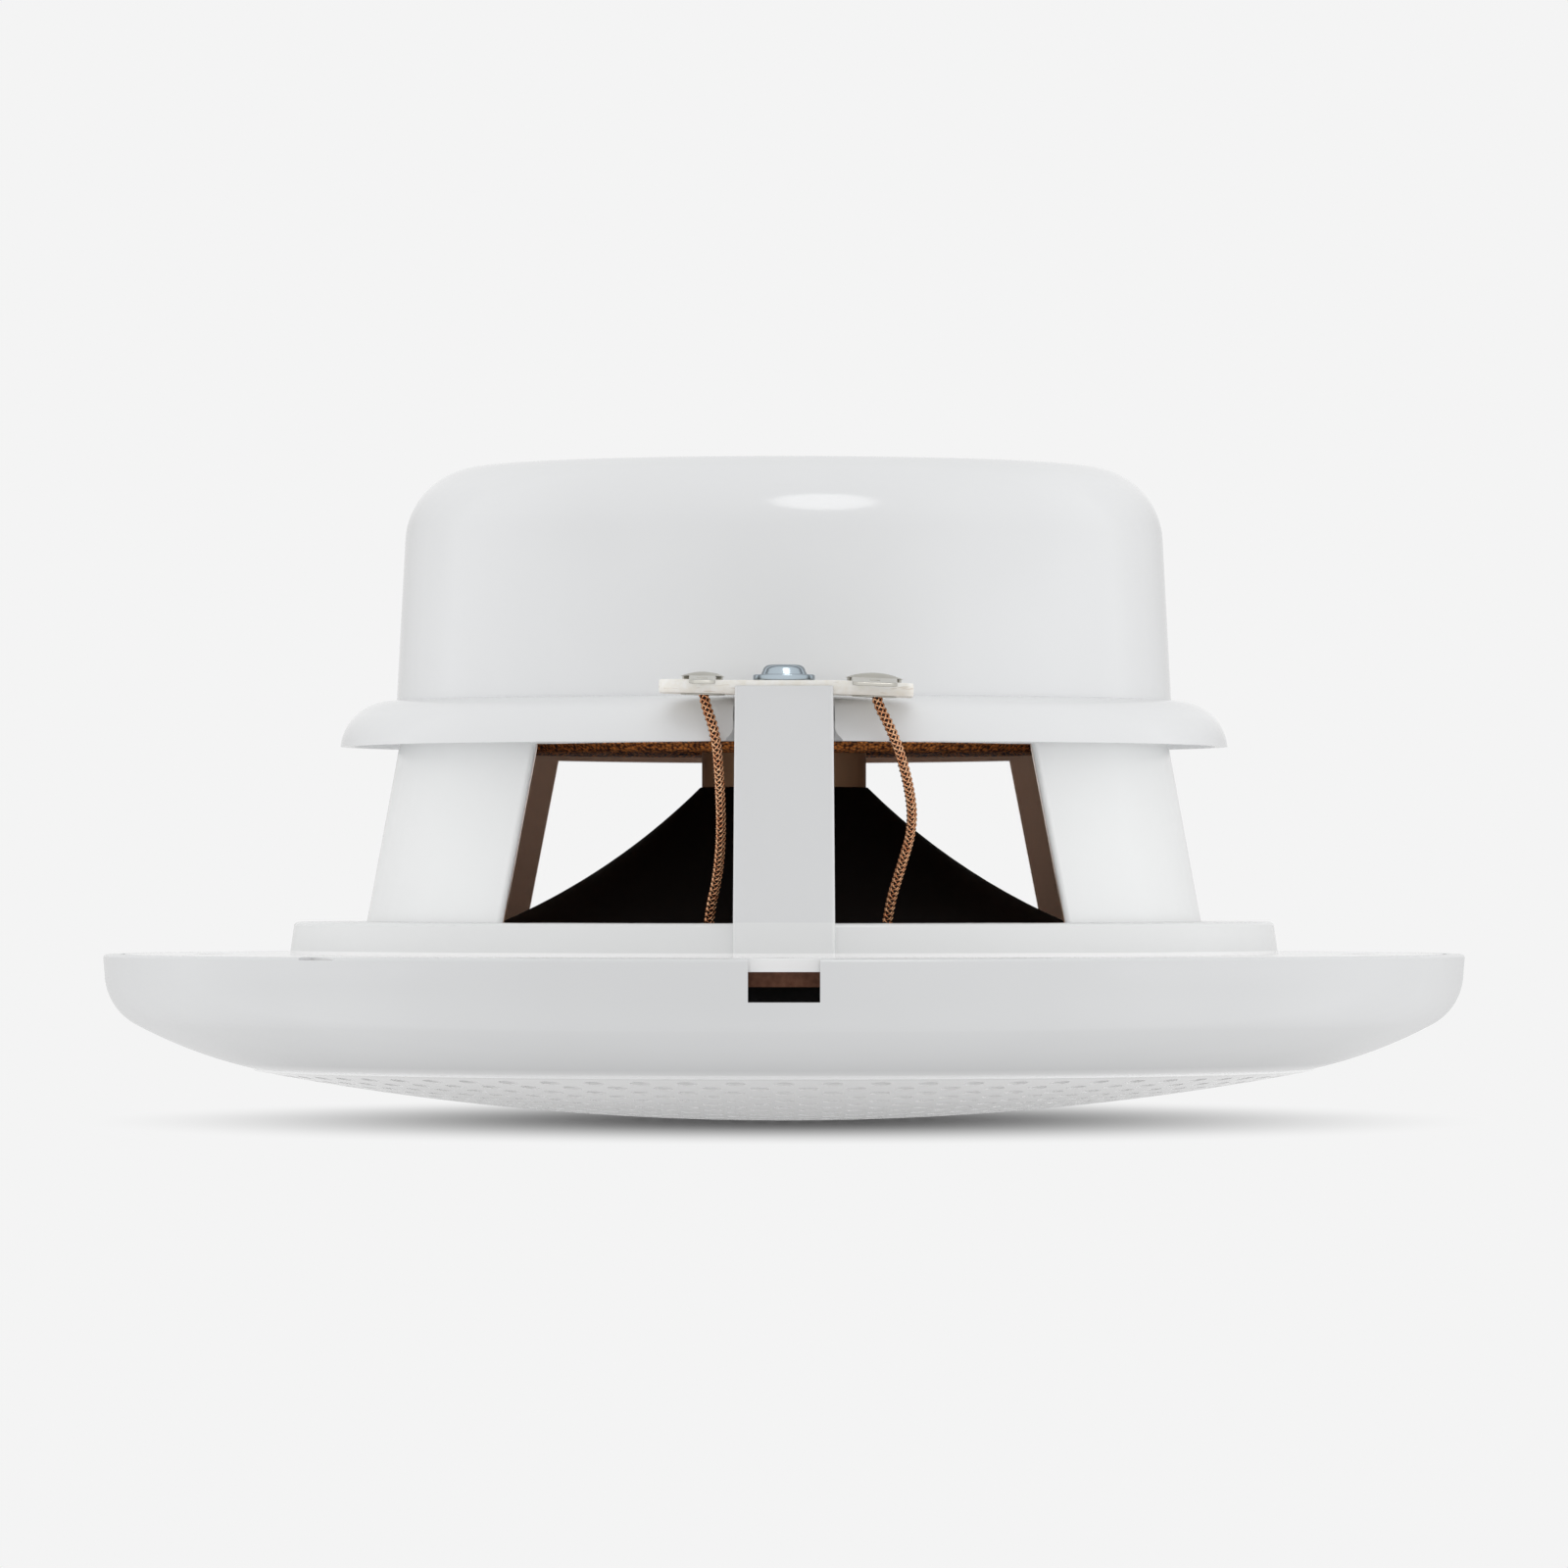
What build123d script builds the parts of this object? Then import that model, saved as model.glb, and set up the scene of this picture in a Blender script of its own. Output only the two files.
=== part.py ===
"""Flush-mount ceiling loudspeaker with a moulded basket, a magnet cover and a domed front grille.

Millimetres, +Z up into the ceiling. The origin is the middle of the ceiling plane, which the
rear edge of the grille and the rear face of the basket flange both touch. The terminal tower
is at -Y. Every piece is turned about Z unless it says otherwise.
"""

from build123d import *
from math import asin, atan2, cos, degrees, dist, radians, sin, sqrt, tan
import os

os.makedirs("parts", exist_ok=True)

# Front grille
bezel_radius = 76.0
bezel_wall = 2.0
rim_height = 2.6
rim_draft = 4.0
rim_rounding = 0.2
corner_radius = 6.5
corner_sweep = 61.0
grille_radius = 59.2
grille_edge_depth = 12.75
grille_step = 0.2
grille_wall = 1.8
dome_rise = 5.6
hole_radius = 1.6
hole_pitch = 10.2
hole_ring_pitch = 9.2
hole_ring_count = 6
hole_margin = 3.8
pry_slot_width = 7.56
pry_slot_depth = 4.6
rim_notch_width = 5.0
rim_notch_depth = 0.7
rim_notch_angle = 229.0
hook_angles = (35.0, 145.0, 215.0, 325.0)
hook_width = 8.0
hook_reach = 1.1
hook_height = 0.8
rib_angles = (0.0, 67.0, 113.0, 180.0, 247.0, 293.0)
rib_width = 1.4
rib_reach = 3.4

# Basket
flange_thickness = 1.42
flange_clearance = 0.35
step_height = 3.6
step_radius = 55.2
step_draft = 0.5
step_rounding = 0.5
wall_foot_radius = 46.65
wall_draft = 10.45
basket_wall = 2.2
window_height = 19.63
window_foot_half_width = 30.75
window_head_half_width = 27.13
window_narrowing = 1.51
window_front_rise = 0.21
window_rear_fall = 1.64
window_edge_rounding = 0.45
window_lintel = 0.3
deck_thickness = 2.6
spigot_height = 2.7
spigot_wall = 2.0
core_groove_width = 4.0
core_groove_depth = 3.0
screw_circle_radius = 64.0
screw_hole_radius = 2.1
screw_hole_count = 4
screw_hole_start = 0.0

# Magnet cover
cover_wall = 2.0
cover_fit = 0.15
crown_radius = 43.3
crown_draft = 3.0
crown_height = 26.15
crown_rounding = 8.5
brim_radius = 5.55
brim_overhang = 6.29
brim_wall = 1.2
brim_below_deck = 3.0
notch_clearance = 0.15
notch_flare = 1.0

# Terminal tower on the basket
tower_foot_width = 10.96
tower_head_width = 10.5
tower_front = 55.9
tower_depth = 8.6
tower_height = 28.1
tower_wall = 1.6
tower_cap = 7.0
tower_rounding = 0.4
lip_height = 0.84
lip_thickness = 0.9

# Terminal board and its fittings
board_left = 13.35
board_right = 13.8
board_depth = 9.5
board_thickness = 1.45
board_left_rounding = 3.0
board_right_rounding = 0.8
board_clearance = 0.1
terminal_row = 51.2
negative_x = -8.7
positive_x = 9.65
negative_tab_width = 2.8
positive_tab_width = 4.8
tab_thickness = 0.4
tab_reach = 9.2
tab_droop = 0.6
tab_back = 3.2
tab_tip_chamfer = 0.5
tab_hole_radius = 0.6
eyelet_wall = 0.25
eyelet_fit = 0.1
eyelet_flange_radius = 2.4
eyelet_crimp_radius = 1.4
eyelet_flange = 0.15
negative_cap_radius = 2.37
negative_cap_height = 0.5
positive_cap_radius = 3.1
positive_cap_height = 0.62
screw_head_radius = 2.47
screw_head_height = 1.06
screw_washer_radius = 3.33
screw_washer = 0.65
screw_shank_radius = 1.25
screw_shank_length = 6.5
screw_fit = 0.08
recess_width = 0.7
recess_length = 2.9
recess_depth = 0.7

# Motor
plate_edge = 2.0
top_plate_thickness = 4.0
magnet_radius = 35.0
magnet_hole_radius = 16.0
magnet_thickness = 15.0
back_plate_radius = 33.0
back_plate_thickness = 5.0
motor_screw_count = 4
motor_screw_inset = 2.0
motor_screw_radius = 1.25
motor_screw_head_radius = 1.8
motor_screw_length = 5.0

# Moving parts and their suspension
former_radius = 9.18
former_wall = 0.25
former_foot = 17.4
former_head = 32.4
coil_wall = 0.45
coil_height = 8.0
coil_middle = 28.1
gap_clearance = 0.4
pole_clearance = 0.3
glue = 0.03
cone_neck_height = 18.6
cone_middle_radius = 20.5
cone_middle_height = 9.55
cone_edge_radius = 38.4
cone_edge_height = 1.03
cone_rim_radius = 40.6
cone_wall = 0.75
cap_radius = 12.4
cap_rise = 4.0
cap_wall = 0.5
spider_radius = 35.0
spider_rim = 3.5
spider_wave = 0.8
spider_wave_count = 6
spider_collar = 2.6
spider_thickness = 0.4
spider_room = 1.8
surround_lip = 1.9
surround_roll_radius = 3.2
surround_roll_drop = 0.35
surround_thickness = 0.5
surround_edge_thickness = 0.3
surround_edge_radius = 54.3
gasket_inner_radius = 47.9
gasket_thickness = 1.25
gasket_hole_radius = 2.6
gasket_rib_gap = 0.4
lead_radius = 0.62
lead_fit = 0.2

# Levels and radii that follow from the sizes above
flange_radius = bezel_radius - bezel_wall - flange_clearance
flange_front = -flange_thickness
wall_run = tan(radians(wall_draft))
window_head = step_height + window_height
deck_under = window_head + window_lintel
deck_top = deck_under + deck_thickness
wall_inset = basket_wall / cos(radians(wall_draft))
wave_outer = spider_radius - spider_rim
wave_inner = former_radius + spider_collar
wave_width = (wave_outer - wave_inner) / spider_wave_count
deck_opening_radius = wave_outer - wave_width + spider_room
motor_screw_circle = deck_opening_radius + motor_screw_inset
top_plate_radius = motor_screw_circle + plate_edge


def wall_radius(height):
    """Outer radius of the drafted basket wall at a height."""
    return wall_foot_radius - (height - step_height) * wall_run


def tower_half_width(height):
    """Half width of the tapered front of the tower at a height."""
    share = (height + flange_thickness / 2) / (tower_height + lip_height + flange_thickness / 2)
    return (tower_foot_width + (tower_head_width - tower_foot_width) * share) / 2


def radial_plane(angle):
    """Upright plane through the axis whose local x points out at an angle in degrees."""
    turn = radians(angle)
    return Plane((0, 0, 0), x_dir=(cos(turn), sin(turn), 0), z_dir=(sin(turn), -cos(turn), 0))


spigot_radius = wall_radius(deck_top) - basket_wall + 0.6
cover_inner_radius = spigot_radius + cover_fit
crown_foot = deck_top + brim_radius - brim_below_deck - 0.5
dome_depth = grille_edge_depth + grille_step + dome_rise
dome_sphere = (grille_radius**2 + dome_rise**2) / (2 * dome_rise)
dome_centre = dome_sphere - dome_depth

# Front grille: rim wall, rounded corner, shoulder and perforated dome in one moulding
inner_rim = bezel_radius - bezel_wall
inner_edge_depth = grille_edge_depth - bezel_wall
rim_run = rim_height * tan(radians(rim_draft))
with BuildPart() as front_grille:
    with BuildSketch(Plane.XZ):
        with BuildLine():
            rim = Line((bezel_radius, 0), (bezel_radius - rim_run, -rim_height))
            corner = JernArc(rim @ 1, rim % 1, corner_radius, rim_draft - corner_sweep)
            shoulder = TangentArc(corner @ 1, (grille_radius, -grille_edge_depth), tangent=corner % 1)
            outer_dome = CenterArc(
                (0, dome_centre), dome_sphere, -90, degrees(asin(grille_radius / dome_sphere))
            )
            Line(shoulder @ 1, outer_dome @ 1)
            inner_sphere = dome_sphere - grille_wall
            inner_dome = CenterArc(
                (0, dome_centre), inner_sphere, -90, degrees(asin(grille_radius / inner_sphere))
            )
            Line(outer_dome @ 0, inner_dome @ 0)
            inner_line = Line((inner_rim, 0), (inner_rim - rim_run, -rim_height))
            inner_corner = JernArc(
                inner_line @ 1, inner_line % 1, corner_radius - bezel_wall, rim_draft - corner_sweep
            )
            inner_shoulder = TangentArc(
                inner_corner @ 1, (grille_radius, -inner_edge_depth), tangent=inner_corner % 1
            )
            Line(inner_shoulder @ 1, inner_dome @ 1)
            Line(rim @ 0, inner_line @ 0)
        make_face()
    revolve(axis=Axis.Z)
    rim_edge = front_grille.edges().filter_by_position(Axis.Z, -0.01, 0.01).sort_by(SortBy.LENGTH)[-1]
    fillet(rim_edge, rim_rounding)
    # Holes in rings, each ring turned half a pitch from the one outside it
    with BuildSketch(Plane.XY.offset(-dome_depth - 1)):
        for ring in range(hole_ring_count):
            ring_radius = grille_radius - hole_margin - ring * hole_ring_pitch
            ring_holes = max(3, round(2 * 3.14159 * ring_radius / hole_pitch))
            with PolarLocations(ring_radius, ring_holes, start_angle=(ring % 2) * 180 / ring_holes):
                Circle(hole_radius)
    extrude(amount=dome_depth + 1 - inner_edge_depth + 2 * grille_wall, mode=Mode.SUBTRACT)
    # Hooks that snap over the edge of the basket flange
    for angle in hook_angles:
        with BuildSketch(radial_plane(angle)):
            Polygon(
                (inner_rim + 0.4, -0.1),
                (inner_rim - hook_reach / 2, -0.1),
                (inner_rim - hook_reach, -hook_height / 2),
                (inner_rim - hook_reach, -hook_height),
                (inner_rim + 0.4, -hook_height),
                align=None,
            )
        extrude(amount=hook_width / 2, both=True)
    # Ribs that the front of the flange rests on
    rib_top = -flange_thickness - 0.1
    rib_foot = -rim_height - corner_radius + bezel_wall + 0.6
    for angle in rib_angles:
        with BuildSketch(radial_plane(angle)):
            Polygon(
                (inner_rim + 0.6, rib_top),
                (inner_rim - rib_reach, rib_top),
                (inner_rim - rib_reach, rib_foot - 0.8),
                (inner_rim - 0.6, rib_foot),
                align=None,
            )
        extrude(amount=rib_width / 2, both=True)
    # Slot for a screwdriver, and a small notch in the rear edge
    with BuildSketch(Plane.XZ.offset(bezel_radius + 2)):
        with Locations((0, (2 - pry_slot_depth) / 2)):
            Rectangle(pry_slot_width, pry_slot_depth + 2)
    extrude(amount=-(bezel_wall + 5), mode=Mode.SUBTRACT)
    with BuildSketch(radial_plane(rim_notch_angle)):
        with Locations((inner_rim + bezel_wall / 2, 0)):
            Rectangle(bezel_wall * 2, 2 * rim_notch_depth)
    extrude(amount=rim_notch_width / 2, both=True, mode=Mode.SUBTRACT)
front_grille.part.label = "front_grille"
export_step(front_grille.part, "parts/front_grille.step")

# Basket: flange, step ring, drafted wall with two windows, deck, and the terminal tower
groove_inner = wall_foot_radius + basket_wall
groove_outer = groove_inner + core_groove_width
inner_foot = wall_radius(step_height) - wall_inset
with BuildPart() as basket:
    with BuildSketch(Plane.XZ):
        with BuildLine():
            Polyline(
                (inner_foot, flange_front),
                (groove_inner, flange_front),
                (groove_inner, flange_front + core_groove_depth),
                (groove_outer, flange_front + core_groove_depth),
                (groove_outer, flange_front),
                (flange_radius, flange_front),
                (flange_radius, 0),
                (step_radius, 0),
                (step_radius - step_draft, step_height),
                (wall_foot_radius, step_height),
                (wall_radius(deck_top), deck_top),
                (spigot_radius, deck_top),
                (spigot_radius, deck_top + spigot_height),
                (spigot_radius - spigot_wall, deck_top + spigot_height),
                (spigot_radius - spigot_wall, deck_top),
                (deck_opening_radius, deck_top),
                (deck_opening_radius, deck_under),
                (wall_radius(deck_under) - wall_inset, deck_under),
                (inner_foot, step_height),
                close=True,
            )
        make_face()
    revolve(axis=Axis.Z)
    step_edges = basket.edges().filter_by(GeomType.CIRCLE)
    step_edges = step_edges.filter_by_position(Axis.Z, step_height - 0.01, step_height + 0.01)
    fillet(step_edges.sort_by(SortBy.RADIUS)[-1], step_rounding)
    # Windows: one side core passes through both walls and is narrower and lower at the rear
    for side, narrowing, head in (
        (1, 0, window_head + window_front_rise),
        (-1, window_narrowing, window_head - window_rear_fall),
    ):
        with BuildSketch(Plane.XZ.offset(side * step_radius)):
            Polygon(
                (-window_foot_half_width + narrowing, step_height),
                (window_foot_half_width - narrowing, step_height),
                (window_head_half_width - narrowing, head),
                (-window_head_half_width + narrowing, head),
                align=None,
            )
    loft(mode=Mode.SUBTRACT)
    # Round the outer edges of the four jambs
    jambs = [
        edge
        for edge in basket.edges()
        if window_head_half_width - 3 < abs((edge @ 0.5).X) < window_foot_half_width + 2
        and edge.bounding_box().size.Z > window_height * 0.8
        and sqrt((edge @ 0.5).X ** 2 + (edge @ 0.5).Y ** 2) > wall_radius((edge @ 0.5).Z) - 0.3
    ]
    fillet(jambs, window_edge_rounding)
    # Tower: an upright channel, open to the rear below a solid cap
    with BuildSketch(Plane.XZ.offset(tower_front)):
        Polygon(
            (-tower_foot_width / 2, -flange_thickness / 2),
            (tower_foot_width / 2, -flange_thickness / 2),
            (tower_head_width / 2, tower_height + lip_height),
            (-tower_head_width / 2, tower_height + lip_height),
            align=None,
        )
    extrude(amount=-tower_depth)
    tower_edges = [
        edge
        for edge in basket.edges().filter_by_position(Axis.Y, -tower_front - 0.01, -tower_front + 0.01)
        if edge.bounding_box().size.Z > tower_height * 0.8
    ]
    fillet(tower_edges, tower_rounding)
    with BuildSketch(Plane.XY.offset(tower_height)):
        with Locations((0, -tower_front + lip_thickness + tower_depth / 2)):
            Rectangle(tower_foot_width, tower_depth)
    extrude(amount=2 * lip_height, mode=Mode.SUBTRACT)
    with BuildSketch(Plane.XY.offset(step_height)):
        with Locations((0, -tower_front + tower_wall + tower_depth / 2)):
            Rectangle(tower_head_width - 2 * tower_wall, tower_depth)
    extrude(amount=tower_height - step_height - tower_cap, mode=Mode.SUBTRACT)
    with BuildSketch(Plane.XY.offset(tower_height)):
        with Locations((0, -terminal_row)):
            Circle(screw_shank_radius + screw_fit)
    extrude(amount=-(screw_shank_length + 0.3), mode=Mode.SUBTRACT)
    # Screw holes through the flange, and holes for the screws of the motor
    with BuildSketch(Plane.XY.offset(flange_front - 1)):
        with PolarLocations(screw_circle_radius, screw_hole_count, start_angle=screw_hole_start):
            Circle(screw_hole_radius)
    extrude(amount=flange_thickness + 2, mode=Mode.SUBTRACT)
    with BuildSketch(Plane.XY.offset(deck_under - 1)):
        with PolarLocations(motor_screw_circle, motor_screw_count, start_angle=45):
            Circle(motor_screw_head_radius + screw_fit)
    extrude(amount=1 + deck_thickness / 2 + screw_fit, mode=Mode.SUBTRACT)
    with BuildSketch(Plane.XY.offset(deck_under)):
        with PolarLocations(motor_screw_circle, motor_screw_count, start_angle=45):
            Circle(motor_screw_radius + screw_fit)
    extrude(amount=deck_thickness + 1, mode=Mode.SUBTRACT)
    # Pockets in the rear of the flange for the hooks of the grille
    for angle in hook_angles:
        with BuildSketch(radial_plane(angle)):
            with Locations((flange_radius - hook_reach + flange_clearance, 0)):
                Rectangle(2 * hook_reach, 2 * (hook_height + 0.15), align=(Align.MIN, Align.CENTER))
        extrude(amount=hook_width / 2 + 0.6, both=True, mode=Mode.SUBTRACT)
basket.part.label = "basket"
export_step(basket.part, "parts/basket.step")

# Magnet cover: crown and quarter-round brim, with a notch for the tower
crown_top = crown_foot + crown_height
crown_lean = crown_height * tan(radians(crown_draft))
brim_bottom = deck_top - brim_below_deck
brim_centre = crown_foot - brim_radius
brim_middle = crown_radius + brim_overhang - brim_radius
inner_brim = brim_radius - brim_wall
brim_start = degrees(asin((brim_bottom - brim_centre) / brim_radius))
inner_start = degrees(asin((brim_bottom - brim_centre) / inner_brim))
with BuildPart() as magnet_cover:
    with BuildSketch(Plane.XZ):
        with BuildLine():
            brim = CenterArc((brim_middle, brim_centre), brim_radius, brim_start, 90 - brim_start)
            Line(brim @ 1, (crown_radius, crown_foot))
            crown = FilletPolyline(
                (crown_radius, crown_foot),
                (crown_radius - crown_lean, crown_top),
                (0, crown_top),
                radius=crown_rounding,
            )
            Line(crown @ 1, (0, crown_top - cover_wall))
            inner_lean = (crown_height - cover_wall) * tan(radians(crown_draft))
            inside = FilletPolyline(
                (0, crown_top - cover_wall),
                (cover_inner_radius - inner_lean, crown_top - cover_wall),
                (cover_inner_radius, deck_top + spigot_height),
                radius=crown_rounding - cover_wall,
            )
            under = CenterArc(
                (brim_middle, brim_centre), inner_brim, inner_start, 88 - inner_start
            )
            Polyline(
                inside @ 1,
                (cover_inner_radius, deck_top),
                (wall_radius(deck_top), deck_top),
                (wall_radius(deck_top), (under @ 1).Y),
                under @ 1,
            )
            Line(under @ 0, brim @ 0)
        make_face()
    revolve(axis=Axis.Z)
    notch_half = tower_half_width(brim_bottom) + notch_clearance
    with BuildSketch(Plane.XZ.offset(tower_front)):
        with BuildLine():
            Polyline(
                (-notch_half - notch_flare, brim_bottom),
                (-notch_half - notch_flare, brim_bottom - 1),
                (notch_half + notch_flare, brim_bottom - 1),
                (notch_half + notch_flare, brim_bottom),
            )
            CenterArc((notch_half + notch_flare, brim_bottom + notch_flare), notch_flare, 180, 90)
            Polyline(
                (notch_half, brim_bottom + notch_flare),
                (notch_half, crown_foot + 1),
                (-notch_half, crown_foot + 1),
                (-notch_half, brim_bottom + notch_flare),
            )
            CenterArc((-notch_half - notch_flare, brim_bottom + notch_flare), notch_flare, 270, 90)
        make_face()
    extrude(amount=-(tower_depth + notch_clearance), mode=Mode.SUBTRACT)
magnet_cover.part.label = "magnet_cover"
export_step(magnet_cover.part, "parts/magnet_cover.step")

# Motor: front plate, ring magnet, and a back plate in one piece with its pole
gap_radius = former_radius + coil_wall + gap_clearance
plate_top = deck_top + top_plate_thickness
magnet_top = plate_top + magnet_thickness
pole_radius = former_radius - former_wall - pole_clearance
with BuildPart() as top_plate:
    with BuildSketch(Plane.XY.offset(deck_top)):
        Circle(top_plate_radius)
        Circle(gap_radius, mode=Mode.SUBTRACT)
        with PolarLocations(motor_screw_circle, motor_screw_count, start_angle=45):
            Circle(motor_screw_radius + screw_fit, mode=Mode.SUBTRACT)
    extrude(amount=top_plate_thickness)
top_plate.part.label = "top_plate"
export_step(top_plate.part, "parts/top_plate.step")

with BuildPart() as magnet:
    with BuildSketch(Plane.XY.offset(plate_top)):
        Circle(magnet_radius)
        Circle(magnet_hole_radius, mode=Mode.SUBTRACT)
    extrude(amount=magnet_thickness)
magnet.part.label = "magnet"
export_step(magnet.part, "parts/magnet.step")

with BuildPart() as yoke:
    with BuildSketch(Plane.XY.offset(deck_top)):
        Circle(pole_radius)
    extrude(amount=top_plate_thickness + magnet_thickness + back_plate_thickness)
    with BuildSketch(Plane.XY.offset(magnet_top)):
        Circle(back_plate_radius)
    extrude(amount=back_plate_thickness)
yoke.part.label = "yoke"
export_step(yoke.part, "parts/yoke.step")

for number in range(motor_screw_count):
    turn = radians(45 + number * 360 / motor_screw_count)
    place = (motor_screw_circle * cos(turn), motor_screw_circle * sin(turn))
    with BuildPart() as motor_screw:
        with BuildSketch(Plane.XY.offset(deck_under + 0.1)):
            with Locations(place):
                Circle(motor_screw_head_radius)
        extrude(amount=deck_thickness / 2 - 0.1)
        with BuildSketch(Plane.XY.offset(deck_under + 0.2)):
            with Locations(place):
                Circle(motor_screw_radius)
        extrude(amount=motor_screw_length - 0.2)
    motor_screw.part.label = f"motor_screw_{number + 1}"
    export_step(motor_screw.part, f"parts/motor_screw_{number + 1}.step")

# Voice coil: former and winding
with BuildPart() as voice_coil_former:
    with BuildSketch(Plane.XY.offset(former_foot)):
        Circle(former_radius)
        Circle(former_radius - former_wall, mode=Mode.SUBTRACT)
    extrude(amount=former_head - former_foot)
voice_coil_former.part.label = "voice_coil_former"
export_step(voice_coil_former.part, "parts/voice_coil_former.step")

with BuildPart() as voice_coil:
    with BuildSketch(Plane.XY.offset(coil_middle - coil_height / 2)):
        Circle(former_radius + coil_wall)
        Circle(former_radius + glue / 3, mode=Mode.SUBTRACT)
    extrude(amount=coil_height)
voice_coil.part.label = "voice_coil"
export_step(voice_coil.part, "parts/voice_coil.step")

# Leads: straight runs with tangent arcs, from an eyelet on the board to a hole in the cone
board_top = tower_height + board_thickness
eyelet_top = board_top + tab_thickness + eyelet_flange
negative_route = (
    (negative_x, -terminal_row, eyelet_top - 0.1),
    (negative_x, -terminal_row, 27.7),
    (-7.35, -50.6, 24.2),
    (-6.9, -47.6, 18.6),
    (-6.75, -43.9, 13.2),
    (-7.2, -40.2, 8.4),
    (-8.1, -37.7, 4.7),
    (-8.45, -36.0, 0.9),
)
positive_route = (
    (positive_x, -terminal_row, eyelet_top - 0.1),
    (positive_x, -terminal_row, 27.7),
    (11.6, -50.6, 24.2),
    (13.3, -47.9, 19.0),
    (13.95, -44.5, 14.2),
    (12.6, -41.0, 9.5),
    (11.3, -38.1, 5.3),
    (10.8, -35.9, 0.9),
)


def arc_radii(route):
    """One arc radius per inner point: 0.45 of the shorter run beside it over tan of half the turn."""
    radii = []
    for before, here, after in zip(route, route[1:], route[2:]):
        first = Vector(here) - Vector(before)
        second = Vector(after) - Vector(here)
        half_turn = radians(first.get_angle(second)) / 2
        radii.append(0.45 * min(first.length, second.length) / tan(half_turn))
    return radii


def lead_hole_plane(route):
    """Plane at the end of a route, square to its last run."""
    return Plane(route[-1], z_dir=Vector(route[-1]) - Vector(route[-2]))


negative_radii = arc_radii(negative_route)
positive_radii = arc_radii(positive_route)
print("negative lead radii", [round(r, 2) for r in negative_radii])
print("positive lead radii", [round(r, 2) for r in positive_radii])

with BuildPart() as negative_lead:
    with BuildLine() as negative_path:
        FilletPolyline(*negative_route, radius=negative_radii)
    with BuildSketch(Plane(negative_route[0], z_dir=(0, 0, -1))):
        Circle(lead_radius)
    sweep()
negative_lead.part.label = "negative_lead"
export_step(negative_lead.part, "parts/negative_lead.step")

with BuildPart() as positive_lead:
    with BuildLine() as positive_path:
        FilletPolyline(*positive_route, radius=positive_radii)
    with BuildSketch(Plane(positive_route[0], z_dir=(0, 0, -1))):
        Circle(lead_radius)
    sweep()
positive_lead.part.label = "positive_lead"
export_step(positive_lead.part, "parts/positive_lead.step")

for lead, path in ((negative_lead, negative_path), (positive_lead, positive_path)):
    length = path.wires()[0].length
    section = 3.14159 * lead_radius**2
    print(lead.part.label, "length", round(length, 2), "volume share", lead.part.volume / (section * length))

# Cone: curved flare with a flat rim, and two holes that the leads pass through
neck_radius = former_radius + glue
with BuildPart() as cone:
    with BuildSketch(Plane.XZ):
        with BuildLine():
            back = ThreePointArc(
                (neck_radius + 0.15, cone_neck_height),
                (cone_middle_radius, cone_middle_height),
                (cone_edge_radius, cone_edge_height),
            )
            Polyline(
                back @ 1,
                (cone_rim_radius, cone_edge_height),
                (cone_rim_radius, cone_edge_height - cone_wall),
                (cone_edge_radius, cone_edge_height - cone_wall),
            )
            front = ThreePointArc(
                (cone_edge_radius, cone_edge_height - cone_wall),
                (cone_middle_radius, cone_middle_height - cone_wall),
                (neck_radius + 0.15, cone_neck_height - cone_wall),
            )
            Polyline(
                front @ 1,
                (neck_radius, cone_neck_height - cone_wall),
                (neck_radius, cone_neck_height),
                back @ 0,
            )
        make_face()
    revolve(axis=Axis.Z)
    for route in (negative_route, positive_route):
        with BuildSketch(lead_hole_plane(route)):
            Circle(lead_radius + lead_fit)
        extrude(amount=2.5, both=True, mode=Mode.SUBTRACT)
cone.part.label = "cone"
export_step(cone.part, "parts/cone.step")


def cone_front(radius):
    """Height of the front face of the cone at a radius."""
    arc = Edge.make_three_point_arc(
        (neck_radius + 0.15, cone_neck_height - cone_wall, 0),
        (cone_middle_radius, cone_middle_height - cone_wall, 0),
        (cone_edge_radius, cone_edge_height - cone_wall, 0),
    )
    middle = arc.arc_center
    return middle.Y - sqrt(arc.radius**2 - (radius - middle.X) ** 2)


# Dust cap: a shallow dome over the front of the neck
cap_seat = cone_front(cap_radius) - glue
cap_sphere = (cap_radius**2 + cap_rise**2) / (2 * cap_rise)
with BuildPart() as dust_cap:
    with BuildSketch(Plane.XZ):
        with BuildLine():
            bulge = CenterArc(
                (0, cap_seat - cap_rise + cap_sphere),
                cap_sphere,
                -90,
                degrees(asin(cap_radius / cap_sphere)),
            )
            hollow = CenterArc(
                (0, cap_seat - cap_rise + cap_sphere),
                cap_sphere - cap_wall,
                -90,
                degrees(asin((cap_radius - cap_wall) / (cap_sphere - cap_wall))),
            )
            Line(bulge @ 0, hollow @ 0)
            Line(bulge @ 1, hollow @ 1)
        make_face()
    revolve(axis=Axis.Z)
dust_cap.part.label = "dust_cap"
export_step(dust_cap.part, "parts/dust_cap.step")

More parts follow.
